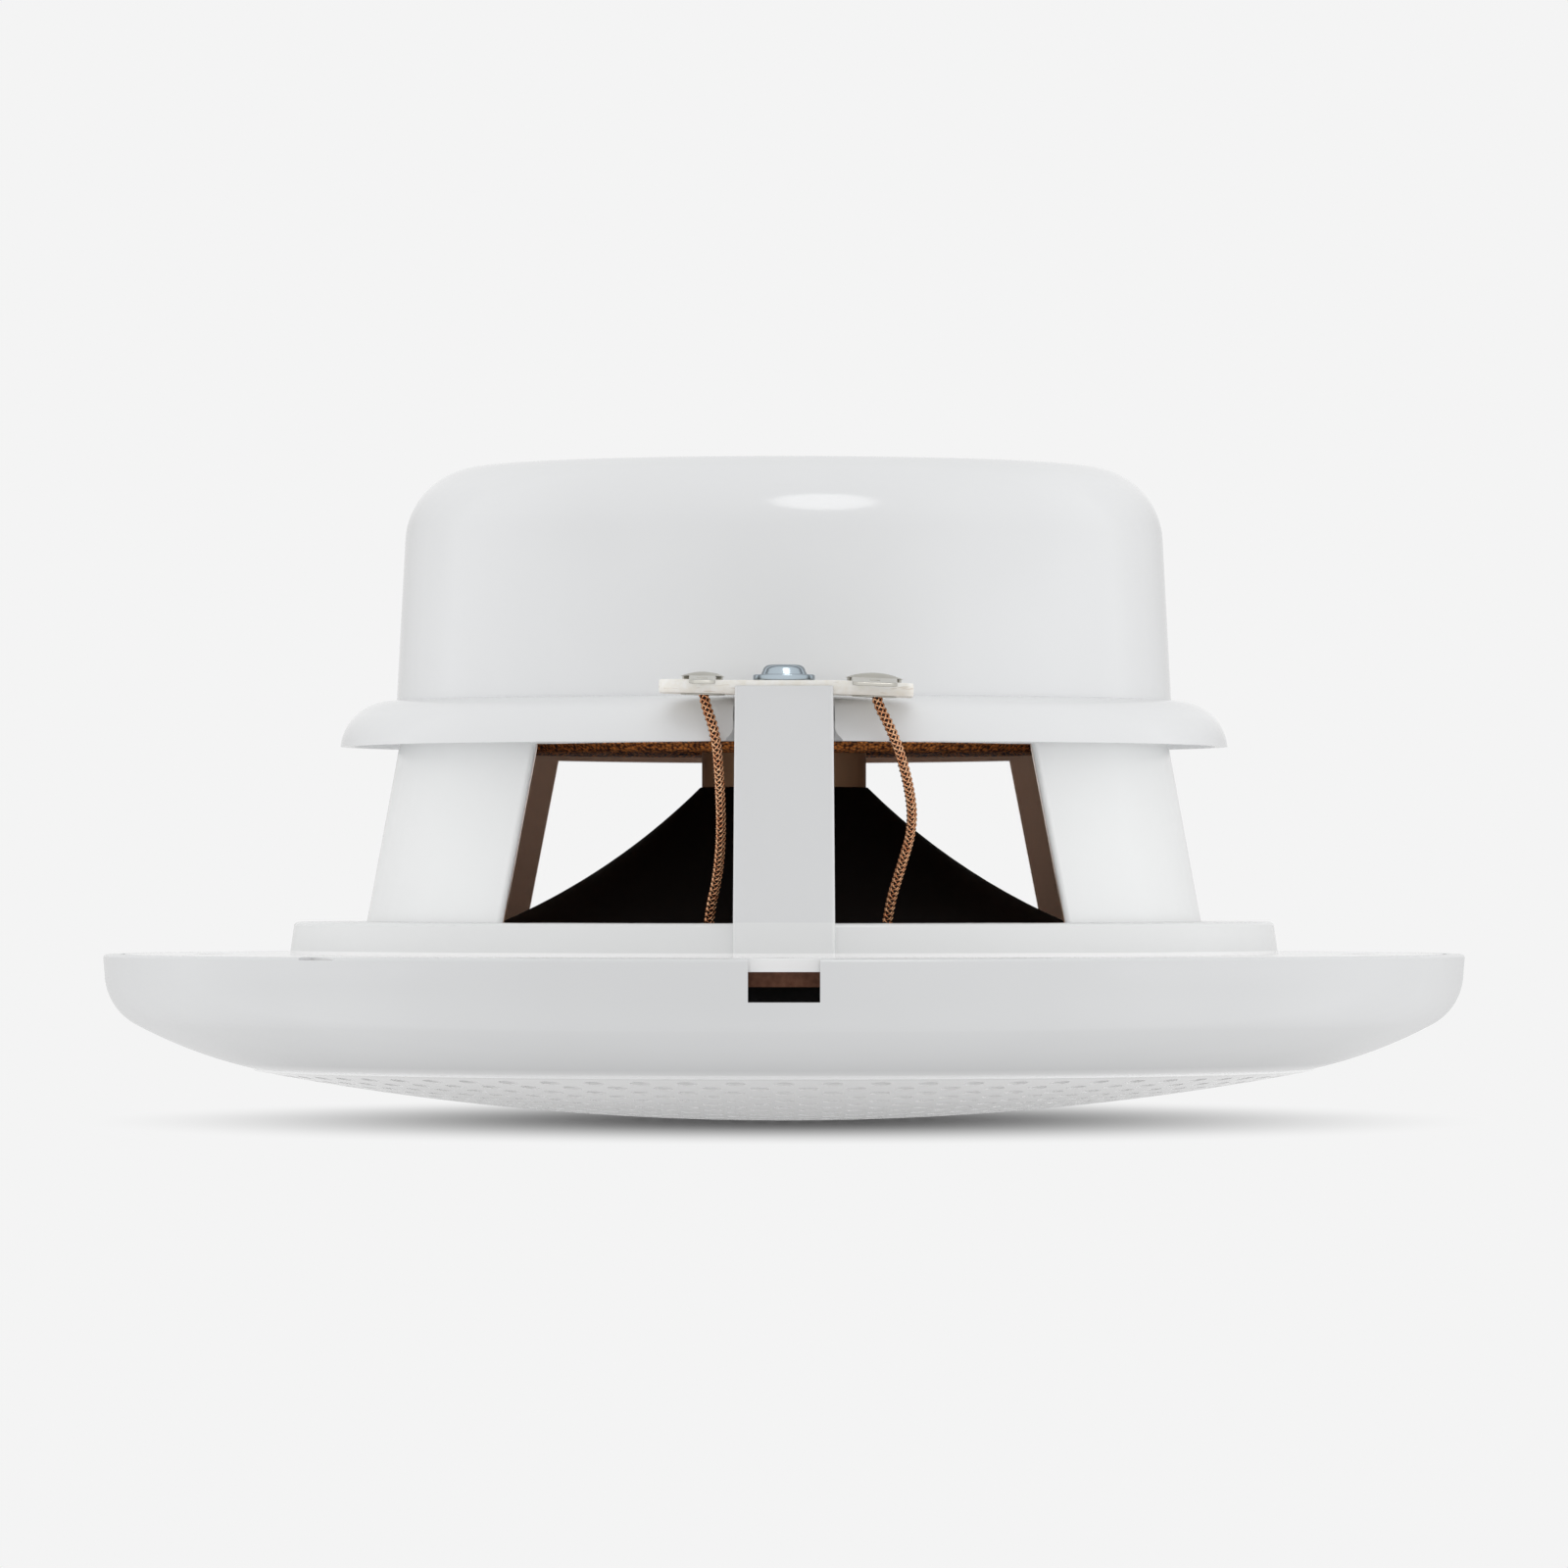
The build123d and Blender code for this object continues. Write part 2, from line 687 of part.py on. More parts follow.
# Spider: corrugated cloth disc, whose rim is glued under the deck and whose collar grips the former
spider_level = deck_under - glue - spider_thickness
with BuildPart() as spider:
    with BuildSketch(Plane.XZ):
        with BuildLine():
            for level in (spider_level, spider_level + spider_thickness):
                Line((spider_radius, level), (wave_outer, level))
                for wave in range(spider_wave_count):
                    swing = spider_wave if wave % 2 else -spider_wave
                    start = wave_outer - wave * wave_width
                    ThreePointArc(
                        (start, level),
                        (start - wave_width / 2, level + swing),
                        (start - wave_width, level),
                    )
                Line((wave_inner, level), (former_radius + glue, level))
            for radius in (spider_radius, former_radius + glue):
                Line((radius, spider_level), (radius, spider_level + spider_thickness))
        make_face()
    revolve(axis=Axis.Z)
spider.part.label = "spider"
export_step(spider.part, "parts/spider.step")

# Surround: rubber half roll between the rim of the cone and the front of the flange
lip_top = cone_edge_height - cone_wall - glue
roll_middle = cone_rim_radius + 0.1 + surround_roll_radius
roll_level = flange_front - surround_roll_drop
half = surround_thickness / 2
inner_roll = surround_roll_radius - half
outer_roll = surround_roll_radius + half
with BuildPart() as surround:
    with BuildSketch(Plane.XZ):
        with BuildLine():
            Polyline(
                (cone_rim_radius - surround_lip, lip_top),
                (roll_middle - inner_roll, lip_top),
                (roll_middle - inner_roll, roll_level),
            )
            ThreePointArc(
                (roll_middle - inner_roll, roll_level),
                (roll_middle, roll_level - inner_roll),
                (roll_middle + inner_roll, roll_level),
            )
            Polyline(
                (roll_middle + inner_roll, roll_level),
                (roll_middle + inner_roll, flange_front - glue),
                (surround_edge_radius, flange_front - glue),
                (surround_edge_radius, flange_front - glue - surround_edge_thickness),
                (roll_middle + outer_roll, flange_front - glue - surround_edge_thickness),
                (roll_middle + outer_roll, roll_level),
            )
            ThreePointArc(
                (roll_middle + outer_roll, roll_level),
                (roll_middle, roll_level - outer_roll),
                (roll_middle - outer_roll, roll_level),
            )
            Polyline(
                (roll_middle - outer_roll, roll_level),
                (roll_middle - outer_roll, lip_top - surround_thickness),
                (cone_rim_radius - surround_lip, lip_top - surround_thickness),
                (cone_rim_radius - surround_lip, lip_top),
            )
        make_face()
    revolve(axis=Axis.Z)
surround.part.label = "surround"
export_step(surround.part, "parts/surround.step")

# Gasket ring on the front of the flange, stepped over the outer edge of the surround
gasket_rear = flange_front - glue
gasket_seat = gasket_rear - surround_edge_thickness - glue
gasket_front = gasket_seat - gasket_thickness
gasket_step_radius = surround_edge_radius + 0.2
gasket_radius = inner_rim - rib_reach - gasket_rib_gap
with BuildPart() as gasket_ring:
    with BuildSketch(Plane.XZ):
        Polygon(
            (gasket_inner_radius, gasket_seat),
            (gasket_step_radius, gasket_seat),
            (gasket_step_radius, gasket_rear),
            (gasket_radius, gasket_rear),
            (gasket_radius, gasket_front),
            (gasket_inner_radius, gasket_front),
            align=None,
        )
    revolve(axis=Axis.Z)
    with BuildSketch(Plane.XY.offset(gasket_front - 1)):
        with PolarLocations(screw_circle_radius, screw_hole_count, start_angle=screw_hole_start):
            Circle(gasket_hole_radius)
    extrude(amount=gasket_rear - gasket_front + 2, mode=Mode.SUBTRACT)
gasket_ring.part.label = "gasket_ring"
export_step(gasket_ring.part, "parts/gasket_ring.step")

# Terminal board on the ledge of the tower
eyelet_bore = lead_radius + lead_fit / 2
eyelet_radius = eyelet_bore + eyelet_wall
board_front = -tower_front + lip_thickness + board_clearance
with BuildPart() as terminal_board:
    with BuildSketch(Plane.XY.offset(tower_height)):
        Polygon(
            (-board_left, board_front),
            (board_right, board_front),
            (board_right, board_front + board_depth),
            (-board_left, board_front + board_depth),
            align=None,
        )
        fillet(vertices().sort_by(Axis.X)[:2], board_left_rounding)
        fillet(vertices().sort_by(Axis.X)[-2:], board_right_rounding)
        with Locations((0, -terminal_row)):
            Circle(screw_shank_radius + screw_fit, mode=Mode.SUBTRACT)
        with Locations((negative_x, -terminal_row), (positive_x, -terminal_row)):
            Circle(eyelet_radius + eyelet_fit, mode=Mode.SUBTRACT)
    extrude(amount=board_thickness)
terminal_board.part.label = "terminal_board"
export_step(terminal_board.part, "parts/terminal_board.step")

# Tab, eyelet and solder cap of each terminal
tab_tip = -terminal_row - tab_reach
for pole, middle, width, cap_spread, cap_height in (
    ("negative", negative_x, negative_tab_width, negative_cap_radius, negative_cap_height),
    ("positive", positive_x, positive_tab_width, positive_cap_radius, positive_cap_height),
):
    # The blade lies flat on the board and droops in front of it
    with BuildPart() as tab:
        with BuildSketch(Plane.YZ.offset(middle)):
            Polygon(
                (-terminal_row + tab_back, board_top),
                (board_front, board_top),
                (tab_tip, board_top - tab_droop),
                (tab_tip, board_top - tab_droop + tab_thickness),
                (board_front, board_top + tab_thickness),
                (-terminal_row + tab_back, board_top + tab_thickness),
                align=None,
            )
        extrude(amount=width / 2, both=True)
        tip_edges = tab.edges().filter_by(Axis.Z).group_by(Axis.Y)[0]
        chamfer(tip_edges, tab_tip_chamfer)
        with BuildSketch(Plane.XY.offset(board_top - tab_droop - 1)):
            with Locations((middle, -terminal_row)):
                Circle(eyelet_radius + eyelet_fit)
            with Locations((middle, tab_tip + 2.6)):
                Circle(tab_hole_radius)
        extrude(amount=tab_droop + tab_thickness + 2, mode=Mode.SUBTRACT)
    tab.part.label = f"{pole}_tab"
    export_step(tab.part, f"parts/{pole}_tab.step")

    with BuildPart() as eyelet:
        for level, height, radius in (
            (tower_height - eyelet_flange, eyelet_flange, eyelet_flange_radius),
            (tower_height - eyelet_flange, eyelet_top - tower_height + eyelet_flange, eyelet_radius),
            (eyelet_top - eyelet_flange, eyelet_flange, eyelet_crimp_radius),
        ):
            with BuildSketch(Plane.XY.offset(level)):
                with Locations((middle, -terminal_row)):
                    Circle(radius)
            extrude(amount=height)
        with BuildSketch(Plane.XY.offset(tower_height - 1)):
            with Locations((middle, -terminal_row)):
                Circle(eyelet_bore)
        extrude(amount=eyelet_top - tower_height + 2, mode=Mode.SUBTRACT)
    eyelet.part.label = f"{pole}_eyelet"
    export_step(eyelet.part, f"parts/{pole}_eyelet.step")

    # The solder cap sits on the tab and has a pocket for the crimped end of the eyelet
    cap_foot = board_top + tab_thickness
    cap_ball = (cap_spread**2 + cap_height**2) / (2 * cap_height)
    cap_turn = degrees(atan2(cap_spread, cap_ball - cap_height))
    pocket_radius = eyelet_crimp_radius + glue
    with BuildPart() as solder:
        with BuildSketch(Plane.XZ.offset(terminal_row)):
            with BuildLine():
                crest = CenterArc(
                    (middle, cap_foot + cap_height - cap_ball), cap_ball, 90 - cap_turn, cap_turn
                )
                Polyline(
                    crest @ 1,
                    (middle, eyelet_top + glue),
                    (middle + pocket_radius, eyelet_top + glue),
                    (middle + pocket_radius, cap_foot),
                    crest @ 0,
                )
            make_face()
        revolve(axis=Axis((middle, -terminal_row, 0), (0, 0, 1)))
    solder.part.label = f"{pole}_solder"
    export_step(solder.part, f"parts/{pole}_solder.step")

# Screw that holds the board: washer head with a cross recess
with BuildPart() as terminal_screw:
    with BuildSketch(Plane.XY.offset(board_top)):
        with Locations((0, -terminal_row)):
            Circle(screw_washer_radius)
    extrude(amount=screw_washer)
    with BuildSketch(Plane.XY.offset(board_top)):
        with Locations((0, -terminal_row)):
            Circle(screw_head_radius)
    extrude(amount=screw_washer + screw_head_height)
    head_edge = terminal_screw.edges().filter_by(GeomType.CIRCLE).sort_by(Axis.Z)[-1]
    fillet(head_edge, screw_head_height * 0.6)
    with BuildSketch(Plane.XY.offset(board_top)):
        with Locations((0, -terminal_row)):
            Circle(screw_shank_radius)
    extrude(amount=-screw_shank_length)
    with BuildSketch(Plane.XY.offset(board_top + screw_washer + screw_head_height)):
        with Locations((0, -terminal_row)):
            Rectangle(recess_length, recess_width)
            Rectangle(recess_width, recess_length)
    extrude(amount=-recess_depth, mode=Mode.SUBTRACT)
terminal_screw.part.label = "terminal_screw"
export_step(terminal_screw.part, "parts/terminal_screw.step")
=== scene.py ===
"""Dressed model of a flush-mount ceiling loudspeaker that lies on its domed grille.

Fine meshes stand for the solids whose detail shows, and the other solids keep their shape and get
a finish. Sizes are in millimetres and turn into metres where they enter a mesh.
"""

import logging
import math
from dataclasses import dataclass
from enum import Enum

import bmesh
import bpy
from mathutils import Matrix, Vector, noise


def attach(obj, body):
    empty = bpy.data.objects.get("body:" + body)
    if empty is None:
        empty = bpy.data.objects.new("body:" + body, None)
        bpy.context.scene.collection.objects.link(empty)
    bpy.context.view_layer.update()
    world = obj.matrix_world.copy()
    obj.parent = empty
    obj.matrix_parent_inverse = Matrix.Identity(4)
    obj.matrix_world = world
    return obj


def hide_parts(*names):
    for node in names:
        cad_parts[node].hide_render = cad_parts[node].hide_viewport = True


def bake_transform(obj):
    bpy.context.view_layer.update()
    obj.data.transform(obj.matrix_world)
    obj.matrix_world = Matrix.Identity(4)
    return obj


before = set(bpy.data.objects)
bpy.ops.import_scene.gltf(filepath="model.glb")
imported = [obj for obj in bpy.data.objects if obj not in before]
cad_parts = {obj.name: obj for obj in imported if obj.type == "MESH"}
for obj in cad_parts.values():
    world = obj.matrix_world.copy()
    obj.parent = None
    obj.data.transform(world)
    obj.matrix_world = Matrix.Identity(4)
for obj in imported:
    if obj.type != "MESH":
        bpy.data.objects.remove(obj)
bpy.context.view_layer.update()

MM = 0.001
LOG = logging.getLogger("speaker")

Point = tuple[float, float, float]
Colour = tuple[float, float, float, float]


class Body(Enum):
    """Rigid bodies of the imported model."""

    HOUSING = "housing"
    CONE = "moving_cone"


class Slot(Enum):
    """Material slots of the record."""

    PLASTIC = "white_plastic"
    STEEL = "plated_steel"
    FERRITE = "ferrite"
    ZINC = "zinc_steel"
    FORMER = "former_paper"
    WINDING = "copper_wire"
    TINSEL = "tinsel_copper"
    CONE = "black_cone"
    CLOTH = "spider_cloth"
    RUBBER = "black_rubber"
    GASKET = "gasket_board"
    BOARD = "fibre_board"
    TINNED = "tinned_brass"
    SOLDER = "solder"


class Lamp(Enum):
    """Outlines of a soft box."""

    BOX = "RECTANGLE"
    OVAL = "ELLIPSE"


class Operation(Enum):
    """What a tool does to a piece."""

    CUT = "DIFFERENCE"
    WELD = "UNION"


def srgb(red: int, green: int, blue: int) -> Colour:
    """Linear colour of an eight-bit sRGB value.

    Args:
        red: red, 0 to 255.
        green: green, 0 to 255.
        blue: blue, 0 to 255.

    Returns:
        The linear colour with an alpha of one.
    """
    values = []
    for channel in (red, green, blue):
        share = channel / 255
        values.append(share / 12.92 if share <= 0.04045 else ((share + 0.055) / 1.055) ** 2.4)
    return (values[0], values[1], values[2], 1.0)


class Outline:
    """A profile in the XZ plane, drawn by extruding and spinning its last vertex."""

    def __init__(self, radius: float, height: float) -> None:
        """Starts the outline at a radius and a height."""
        self.mesh = bmesh.new()
        self.first = self.mesh.verts.new((radius * MM, 0, height * MM))
        self.tip = self.first
        self.heading = Vector((0, 0, -1))

    def line(self, radius: float, height: float) -> "Outline":
        """Draws a straight line to a point and returns the outline."""
        target = Vector((radius * MM, 0, height * MM))
        self.heading = (target - self.tip.co).normalized()
        made = bmesh.ops.extrude_vert_indiv(self.mesh, verts=[self.tip])
        self.tip = made["verts"][0]
        self.tip.co = target
        return self

    def arc(self, radius: float, height: float, turn: float, steps: int) -> "Outline":
        """Turns the tip about a centre.

        Args:
            radius: radius of the centre.
            height: height of the centre.
            turn: degrees, clockwise with the radius to the right.
            steps: number of edges.

        Returns:
            The outline.
        """
        centre = Vector((radius * MM, 0, height * MM))
        made = bmesh.ops.spin(
            self.mesh, geom=[self.tip], cent=centre, axis=(0, 1, 0), angle=math.radians(turn), steps=steps
        )
        self.tip = next(item for item in made["geom_last"] if isinstance(item, bmesh.types.BMVert))
        spoke = self.tip.co - centre
        side = 1 if turn > 0 else -1
        self.heading = Vector((spoke.z, 0, -spoke.x)).normalized() * side
        return self

    def curve(self, radius: float, height: float, steps: int) -> "Outline":
        """Draws an arc that leaves along the present heading and ends at a point."""
        reach = Vector((radius * MM, 0, height * MM)) - self.tip.co
        normal = Vector((self.heading.z, 0, -self.heading.x))
        span = reach.length_squared / (2 * reach.dot(normal))
        centre = self.tip.co + normal * span
        first = self.tip.co - centre
        last = first + reach
        turn = math.degrees(first.angle(last)) * (1 if span > 0 else -1)
        return self.arc(centre.x / MM, centre.z / MM, turn, steps)

    def bend(self, span: float, turn: float, steps: int) -> "Outline":
        """Draws an arc of a radius that leaves along the present heading and turns clockwise."""
        normal = Vector((self.heading.z, 0, -self.heading.x))
        centre = self.tip.co + normal * span * MM
        return self.arc(centre.x / MM, centre.z / MM, turn, steps)

    def close(self) -> "Outline":
        """Joins the tip to the first vertex and returns the outline."""
        self.mesh.edges.new((self.tip, self.first))
        return self

    def revolve(self, steps: int) -> bmesh.types.BMesh:
        """Spins the outline a full turn about Z and returns the closed mesh."""
        geometry = self.mesh.verts[:] + self.mesh.edges[:]
        bmesh.ops.spin(
            self.mesh,
            geom=geometry,
            cent=(0, 0, 0),
            axis=(0, 0, 1),
            angle=math.tau,
            steps=steps,
            use_merge=True,
        )
        bmesh.ops.remove_doubles(self.mesh, verts=self.mesh.verts[:], dist=1e-7)
        bmesh.ops.dissolve_degenerate(self.mesh, edges=self.mesh.edges[:], dist=1e-8)
        bmesh.ops.recalc_face_normals(self.mesh, faces=self.mesh.faces[:])
        return self.mesh

    def sector(self, start: float, angle: float, steps: int) -> bmesh.types.BMesh:
        """Spins the closed outline as a solid wedge.

        Args:
            start: azimuth of the first side, in degrees.
            angle: angle of the wedge, in degrees.
            steps: number of steps.

        Returns:
            The closed wedge.
        """
        face = self.mesh.faces.new(self._loop())
        bmesh.ops.rotate(
            self.mesh,
            verts=self.mesh.verts[:],
            cent=(0, 0, 0),
            matrix=Matrix.Rotation(math.radians(start), 3, "Z"),
        )
        bmesh.ops.spin(
            self.mesh,
            geom=self.mesh.verts[:] + self.mesh.edges[:] + [face],
            cent=(0, 0, 0),
            axis=(0, 0, 1),
            angle=math.radians(angle),
            steps=steps,
        )
        bmesh.ops.recalc_face_normals(self.mesh, faces=self.mesh.faces[:])
        return self.mesh

    def _loop(self) -> list[bmesh.types.BMVert]:
        """Vertices of the closed outline, in order."""
        order = [self.first]
        edge = self.first.link_edges[0]
        while True:
            vert = edge.other_vert(order[-1])
            if vert is self.first:
                return order
            order.append(vert)
            edge = next(other for other in vert.link_edges if other is not edge)


def shade(mesh: bmesh.types.BMesh, sharp: float) -> None:
    """Shades a mesh smooth and marks the edges that turn by more than an angle in degrees."""
    limit = math.radians(sharp)
    for face in mesh.faces:
        face.smooth = True
    for edge in mesh.edges:
        edge.smooth = len(edge.link_faces) == 2 and edge.calc_face_angle(0.0) < limit


def add_object(name: str, mesh: bmesh.types.BMesh, sharp: float = 32.0) -> bpy.types.Object:
    """Turns a bmesh into a linked object at the origin.

    Args:
        name: name of the object and its mesh.
        mesh: the bmesh, which is freed.
        sharp: angle above which an edge stays sharp, in degrees.

    Returns:
        The new object.
    """
    shade(mesh, sharp)
    data = bpy.data.meshes.new(name)
    mesh.to_mesh(data)
    mesh.free()
    piece = bpy.data.objects.new(name, data)
    bpy.context.scene.collection.objects.link(piece)
    return piece


def dress(
    piece: bpy.types.Object, material: bpy.types.Material, body: Body, slot: Slot, *nodes: str
) -> bpy.types.Object:
    """Gives a piece its finish and body, and lets it stand for solids.

    Args:
        piece: the finished piece.
        material: its material.
        body: the body that it rides on.
        slot: not used.
        nodes: names of the solids that it stands for.

    Returns:
        The piece.
    """
    piece.data.materials.clear()
    piece.data.materials.append(material)
    if nodes:
        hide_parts(*nodes)
    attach(piece, body.value)
    LOG.info("%s: %d faces on %s", piece.name, len(piece.data.polygons), body.value)
    return piece


def smooth_copy(node: str, name: str, sharp: float = 32.0) -> bpy.types.Object:
    """A merged, smoothly shaded copy of a solid.

    Args:
        node: name of the solid.
        name: name of the copy.
        sharp: angle above which an edge stays sharp, in degrees.

    Returns:
        The copy.
    """
    mesh = bmesh.new()
    mesh.from_mesh(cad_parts[node].data)
    bmesh.ops.remove_doubles(mesh, verts=mesh.verts[:], dist=2e-7)
    return add_object(name, mesh, sharp)


def combine(
    piece: bpy.types.Object, tool: bpy.types.Object, operation: Operation, sharp: float = 32.0
) -> None:
    """Cuts a tool from a piece or welds it on for good, and removes the tool.

    Args:
        piece: the piece that is changed.
        tool: the closed object that is taken away or added.
        operation: whether the tool is taken away or added.
        sharp: angle above which an edge stays sharp, in degrees.
    """
    step = piece.modifiers.new("combine", "BOOLEAN")
    step.operation = operation.value
    step.solver = "MANIFOLD"
    step.object = tool
    graph = bpy.context.evaluated_depsgraph_get()
    data = bpy.data.meshes.new_from_object(piece.evaluated_get(graph))
    piece.modifiers.remove(step)
    piece.data = data
    bpy.data.objects.remove(tool)
    mesh = bmesh.new()
    mesh.from_mesh(data)
    bmesh.ops.remove_doubles(mesh, verts=mesh.verts[:], dist=1e-7)
    shade(mesh, sharp)
    mesh.to_mesh(data)
    mesh.free()


class Effects:
    """Shader node groups that several finishes share."""

    def __init__(self) -> None:
        """Builds each group once."""
        self.grain = self._grain()
        self.inside = self._inside()
        self.weave = self._weave()
        self.speckle = self._speckle()
        self.nubs = self._nubs()
        self.height = self._height()

    @staticmethod
    def _group(name: str, inputs: list[tuple[str, float]], outputs: list[tuple[str, str]]):
        """An empty group.

        Args:
            name: name of the group.
            inputs: names and default values of its float inputs.
            outputs: names and socket types of its outputs.

        Returns:
            The group, its input node and its output node.
        """
        group = bpy.data.node_groups.new(name, "ShaderNodeTree")
        for label, value in inputs:
            socket = group.interface.new_socket(label, in_out="INPUT", socket_type="NodeSocketFloat")
            socket.default_value = value
        for label, kind in outputs:
            group.interface.new_socket(label, in_out="OUTPUT", socket_type=kind)
        return group, group.nodes.new("NodeGroupInput"), group.nodes.new("NodeGroupOutput")

    def _grain(self) -> bpy.types.NodeTree:
        """Fine moulded grain: a height and a soft mottle."""
        group, source, sink = self._group(
            "moulded_grain",
            [("Grain Scale", 1400.0), ("Mottle Scale", 45.0)],
            [("Height", "NodeSocketFloat"), ("Mottle", "NodeSocketFloat")],
        )
        place = group.nodes.new("ShaderNodeTexCoord")
        fine = group.nodes.new("ShaderNodeTexNoise")
        fine.inputs["Detail"].default_value = 3.0
        broad = group.nodes.new("ShaderNodeTexNoise")
        broad.inputs["Detail"].default_value = 2.0
        group.links.new(place.outputs["Object"], fine.inputs["Vector"])
        group.links.new(place.outputs["Object"], broad.inputs["Vector"])
        group.links.new(source.outputs["Grain Scale"], fine.inputs["Scale"])
        group.links.new(source.outputs["Mottle Scale"], broad.inputs["Scale"])
        group.links.new(fine.outputs["Fac"], sink.inputs["Height"])
        group.links.new(broad.outputs["Fac"], sink.inputs["Mottle"])
        return group

    def _inside(self) -> bpy.types.NodeTree:
        """Mask of the faces that look in at the axis, within a radius."""
        group, source, sink = self._group(
            "inside_mask", [("Radius", 0.05)], [("Mask", "NodeSocketFloat")]
        )
        # This mask places the basket's painted warm shade.
        place = group.nodes.new("ShaderNodeTexCoord")
        split = group.nodes.new("ShaderNodeSeparateXYZ")
        flat = group.nodes.new("ShaderNodeCombineXYZ")
        length = group.nodes.new("ShaderNodeVectorMath")
        length.operation = "LENGTH"
        unit = group.nodes.new("ShaderNodeVectorMath")
        unit.operation = "NORMALIZE"
        geometry = group.nodes.new("ShaderNodeNewGeometry")
        dot = group.nodes.new("ShaderNodeVectorMath")
        dot.operation = "DOT_PRODUCT"
        inward = group.nodes.new("ShaderNodeMath")
        inward.operation = "LESS_THAN"
        inward.inputs[1].default_value = -0.35
        within = group.nodes.new("ShaderNodeMath")
        within.operation = "LESS_THAN"
        both = group.nodes.new("ShaderNodeMath")
        both.operation = "MULTIPLY"
        links = group.links
        links.new(place.outputs["Object"], split.inputs[0])
        links.new(split.outputs["X"], flat.inputs["X"])
        links.new(split.outputs["Y"], flat.inputs["Y"])
        links.new(flat.outputs[0], length.inputs[0])
        links.new(flat.outputs[0], unit.inputs[0])
        links.new(unit.outputs[0], dot.inputs[0])
        links.new(geometry.outputs["Normal"], dot.inputs[1])
        links.new(dot.outputs["Value"], inward.inputs[0])
        links.new(length.outputs["Value"], within.inputs[0])
        links.new(source.outputs["Radius"], within.inputs[1])
        links.new(inward.outputs[0], both.inputs[0])
        links.new(within.outputs[0], both.inputs[1])
        links.new(both.outputs[0], sink.inputs["Mask"])
        return group

    def _weave(self) -> bpy.types.NodeTree:
        """Plain weave of two thread directions: a height and a thread mask."""
        group, source, sink = self._group(
            "plain_weave",
            [("Threads", 9000.0), ("Slub", 600.0)],
            [("Height", "NodeSocketFloat"), ("Slubs", "NodeSocketFloat")],
        )
        place = group.nodes.new("ShaderNodeTexCoord")
        split = group.nodes.new("ShaderNodeSeparateXYZ")
        links = group.links
        links.new(place.outputs["Object"], split.inputs[0])
        waves = []
        for axis in ("X", "Y"):
            scale = group.nodes.new("ShaderNodeMath")
            scale.operation = "MULTIPLY"
            links.new(split.outputs[axis], scale.inputs[0])
            links.new(source.outputs["Threads"], scale.inputs[1])
            wave = group.nodes.new("ShaderNodeMath")
            wave.operation = "SINE"
            links.new(scale.outputs[0], wave.inputs[0])
            waves.append(wave)
        cross = group.nodes.new("ShaderNodeMath")
        cross.operation = "MULTIPLY"
        links.new(waves[0].outputs[0], cross.inputs[0])
        links.new(waves[1].outputs[0], cross.inputs[1])
        lift = group.nodes.new("ShaderNodeMath")
        lift.operation = "MULTIPLY_ADD"
        lift.inputs[1].default_value = 0.5
        lift.inputs[2].default_value = 0.5
        links.new(cross.outputs[0], lift.inputs[0])
        noise = group.nodes.new("ShaderNodeTexNoise")
        links.new(place.outputs["Object"], noise.inputs["Vector"])
        links.new(source.outputs["Slub"], noise.inputs["Scale"])
        links.new(lift.outputs[0], sink.inputs["Height"])
        links.new(noise.outputs["Fac"], sink.inputs["Slubs"])
        return group

    def _speckle(self) -> bpy.types.NodeTree:
        """Fibres and specks for pressed boards and ceramic: a mask and a height."""
        group, source, sink = self._group(
            "speckle", [("Scale", 900.0)], [("Mask", "NodeSocketFloat"), ("Height", "NodeSocketFloat")]
        )
        place = group.nodes.new("ShaderNodeTexCoord")
        cells = group.nodes.new("ShaderNodeTexVoronoi")
        cells.inputs["Randomness"].default_value = 1.0
        noise = group.nodes.new("ShaderNodeTexNoise")
        noise.inputs["Detail"].default_value = 5.0
        links = group.links
        for node in (cells, noise):
            links.new(place.outputs["Object"], node.inputs["Vector"])
            links.new(source.outputs["Scale"], node.inputs["Scale"])
        links.new(noise.outputs["Fac"], sink.inputs["Mask"])
        links.new(cells.outputs["Distance"], sink.inputs["Height"])
        return group


    def _nubs(self) -> bpy.types.NodeTree:
        """Rounded knots of a coarse cloth: a mask that is dark between them, which paints shade in the creases, and
        their height.
        """
        group, source, sink = self._group(
            "cloth_nubs", [("Scale", 3500.0)], [("Mask", "NodeSocketFloat"), ("Height", "NodeSocketFloat")]
        )
        place = group.nodes.new("ShaderNodeTexCoord")
        cells = group.nodes.new("ShaderNodeTexVoronoi")
        cells.inputs["Randomness"].default_value = 0.7
        noise = group.nodes.new("ShaderNodeTexNoise")
        noise.inputs["Scale"].default_value = 900.0
        round_off = group.nodes.new("ShaderNodeMath")
        round_off.operation = "SUBTRACT"
        round_off.inputs[0].default_value = 1.0
        blend = group.nodes.new("ShaderNodeMath")
        blend.operation = "MULTIPLY_ADD"
        blend.inputs[1].default_value = 0.8
        shift = group.nodes.new("ShaderNodeMath")
        shift.operation = "MULTIPLY_ADD"
        shift.inputs[1].default_value = 0.6
        shift.inputs[2].default_value = -0.15
        links = group.links
        links.new(place.outputs["Object"], cells.inputs["Vector"])
        links.new(place.outputs["Object"], noise.inputs["Vector"])
        links.new(source.outputs["Scale"], cells.inputs["Scale"])
        links.new(cells.outputs["Distance"], round_off.inputs[1])
        links.new(noise.outputs["Fac"], shift.inputs[0])
        links.new(cells.outputs["Distance"], blend.inputs[0])
        links.new(shift.outputs[0], blend.inputs[2])
        links.new(blend.outputs[0], sink.inputs["Mask"])
        links.new(round_off.outputs[0], sink.inputs["Height"])
        return group


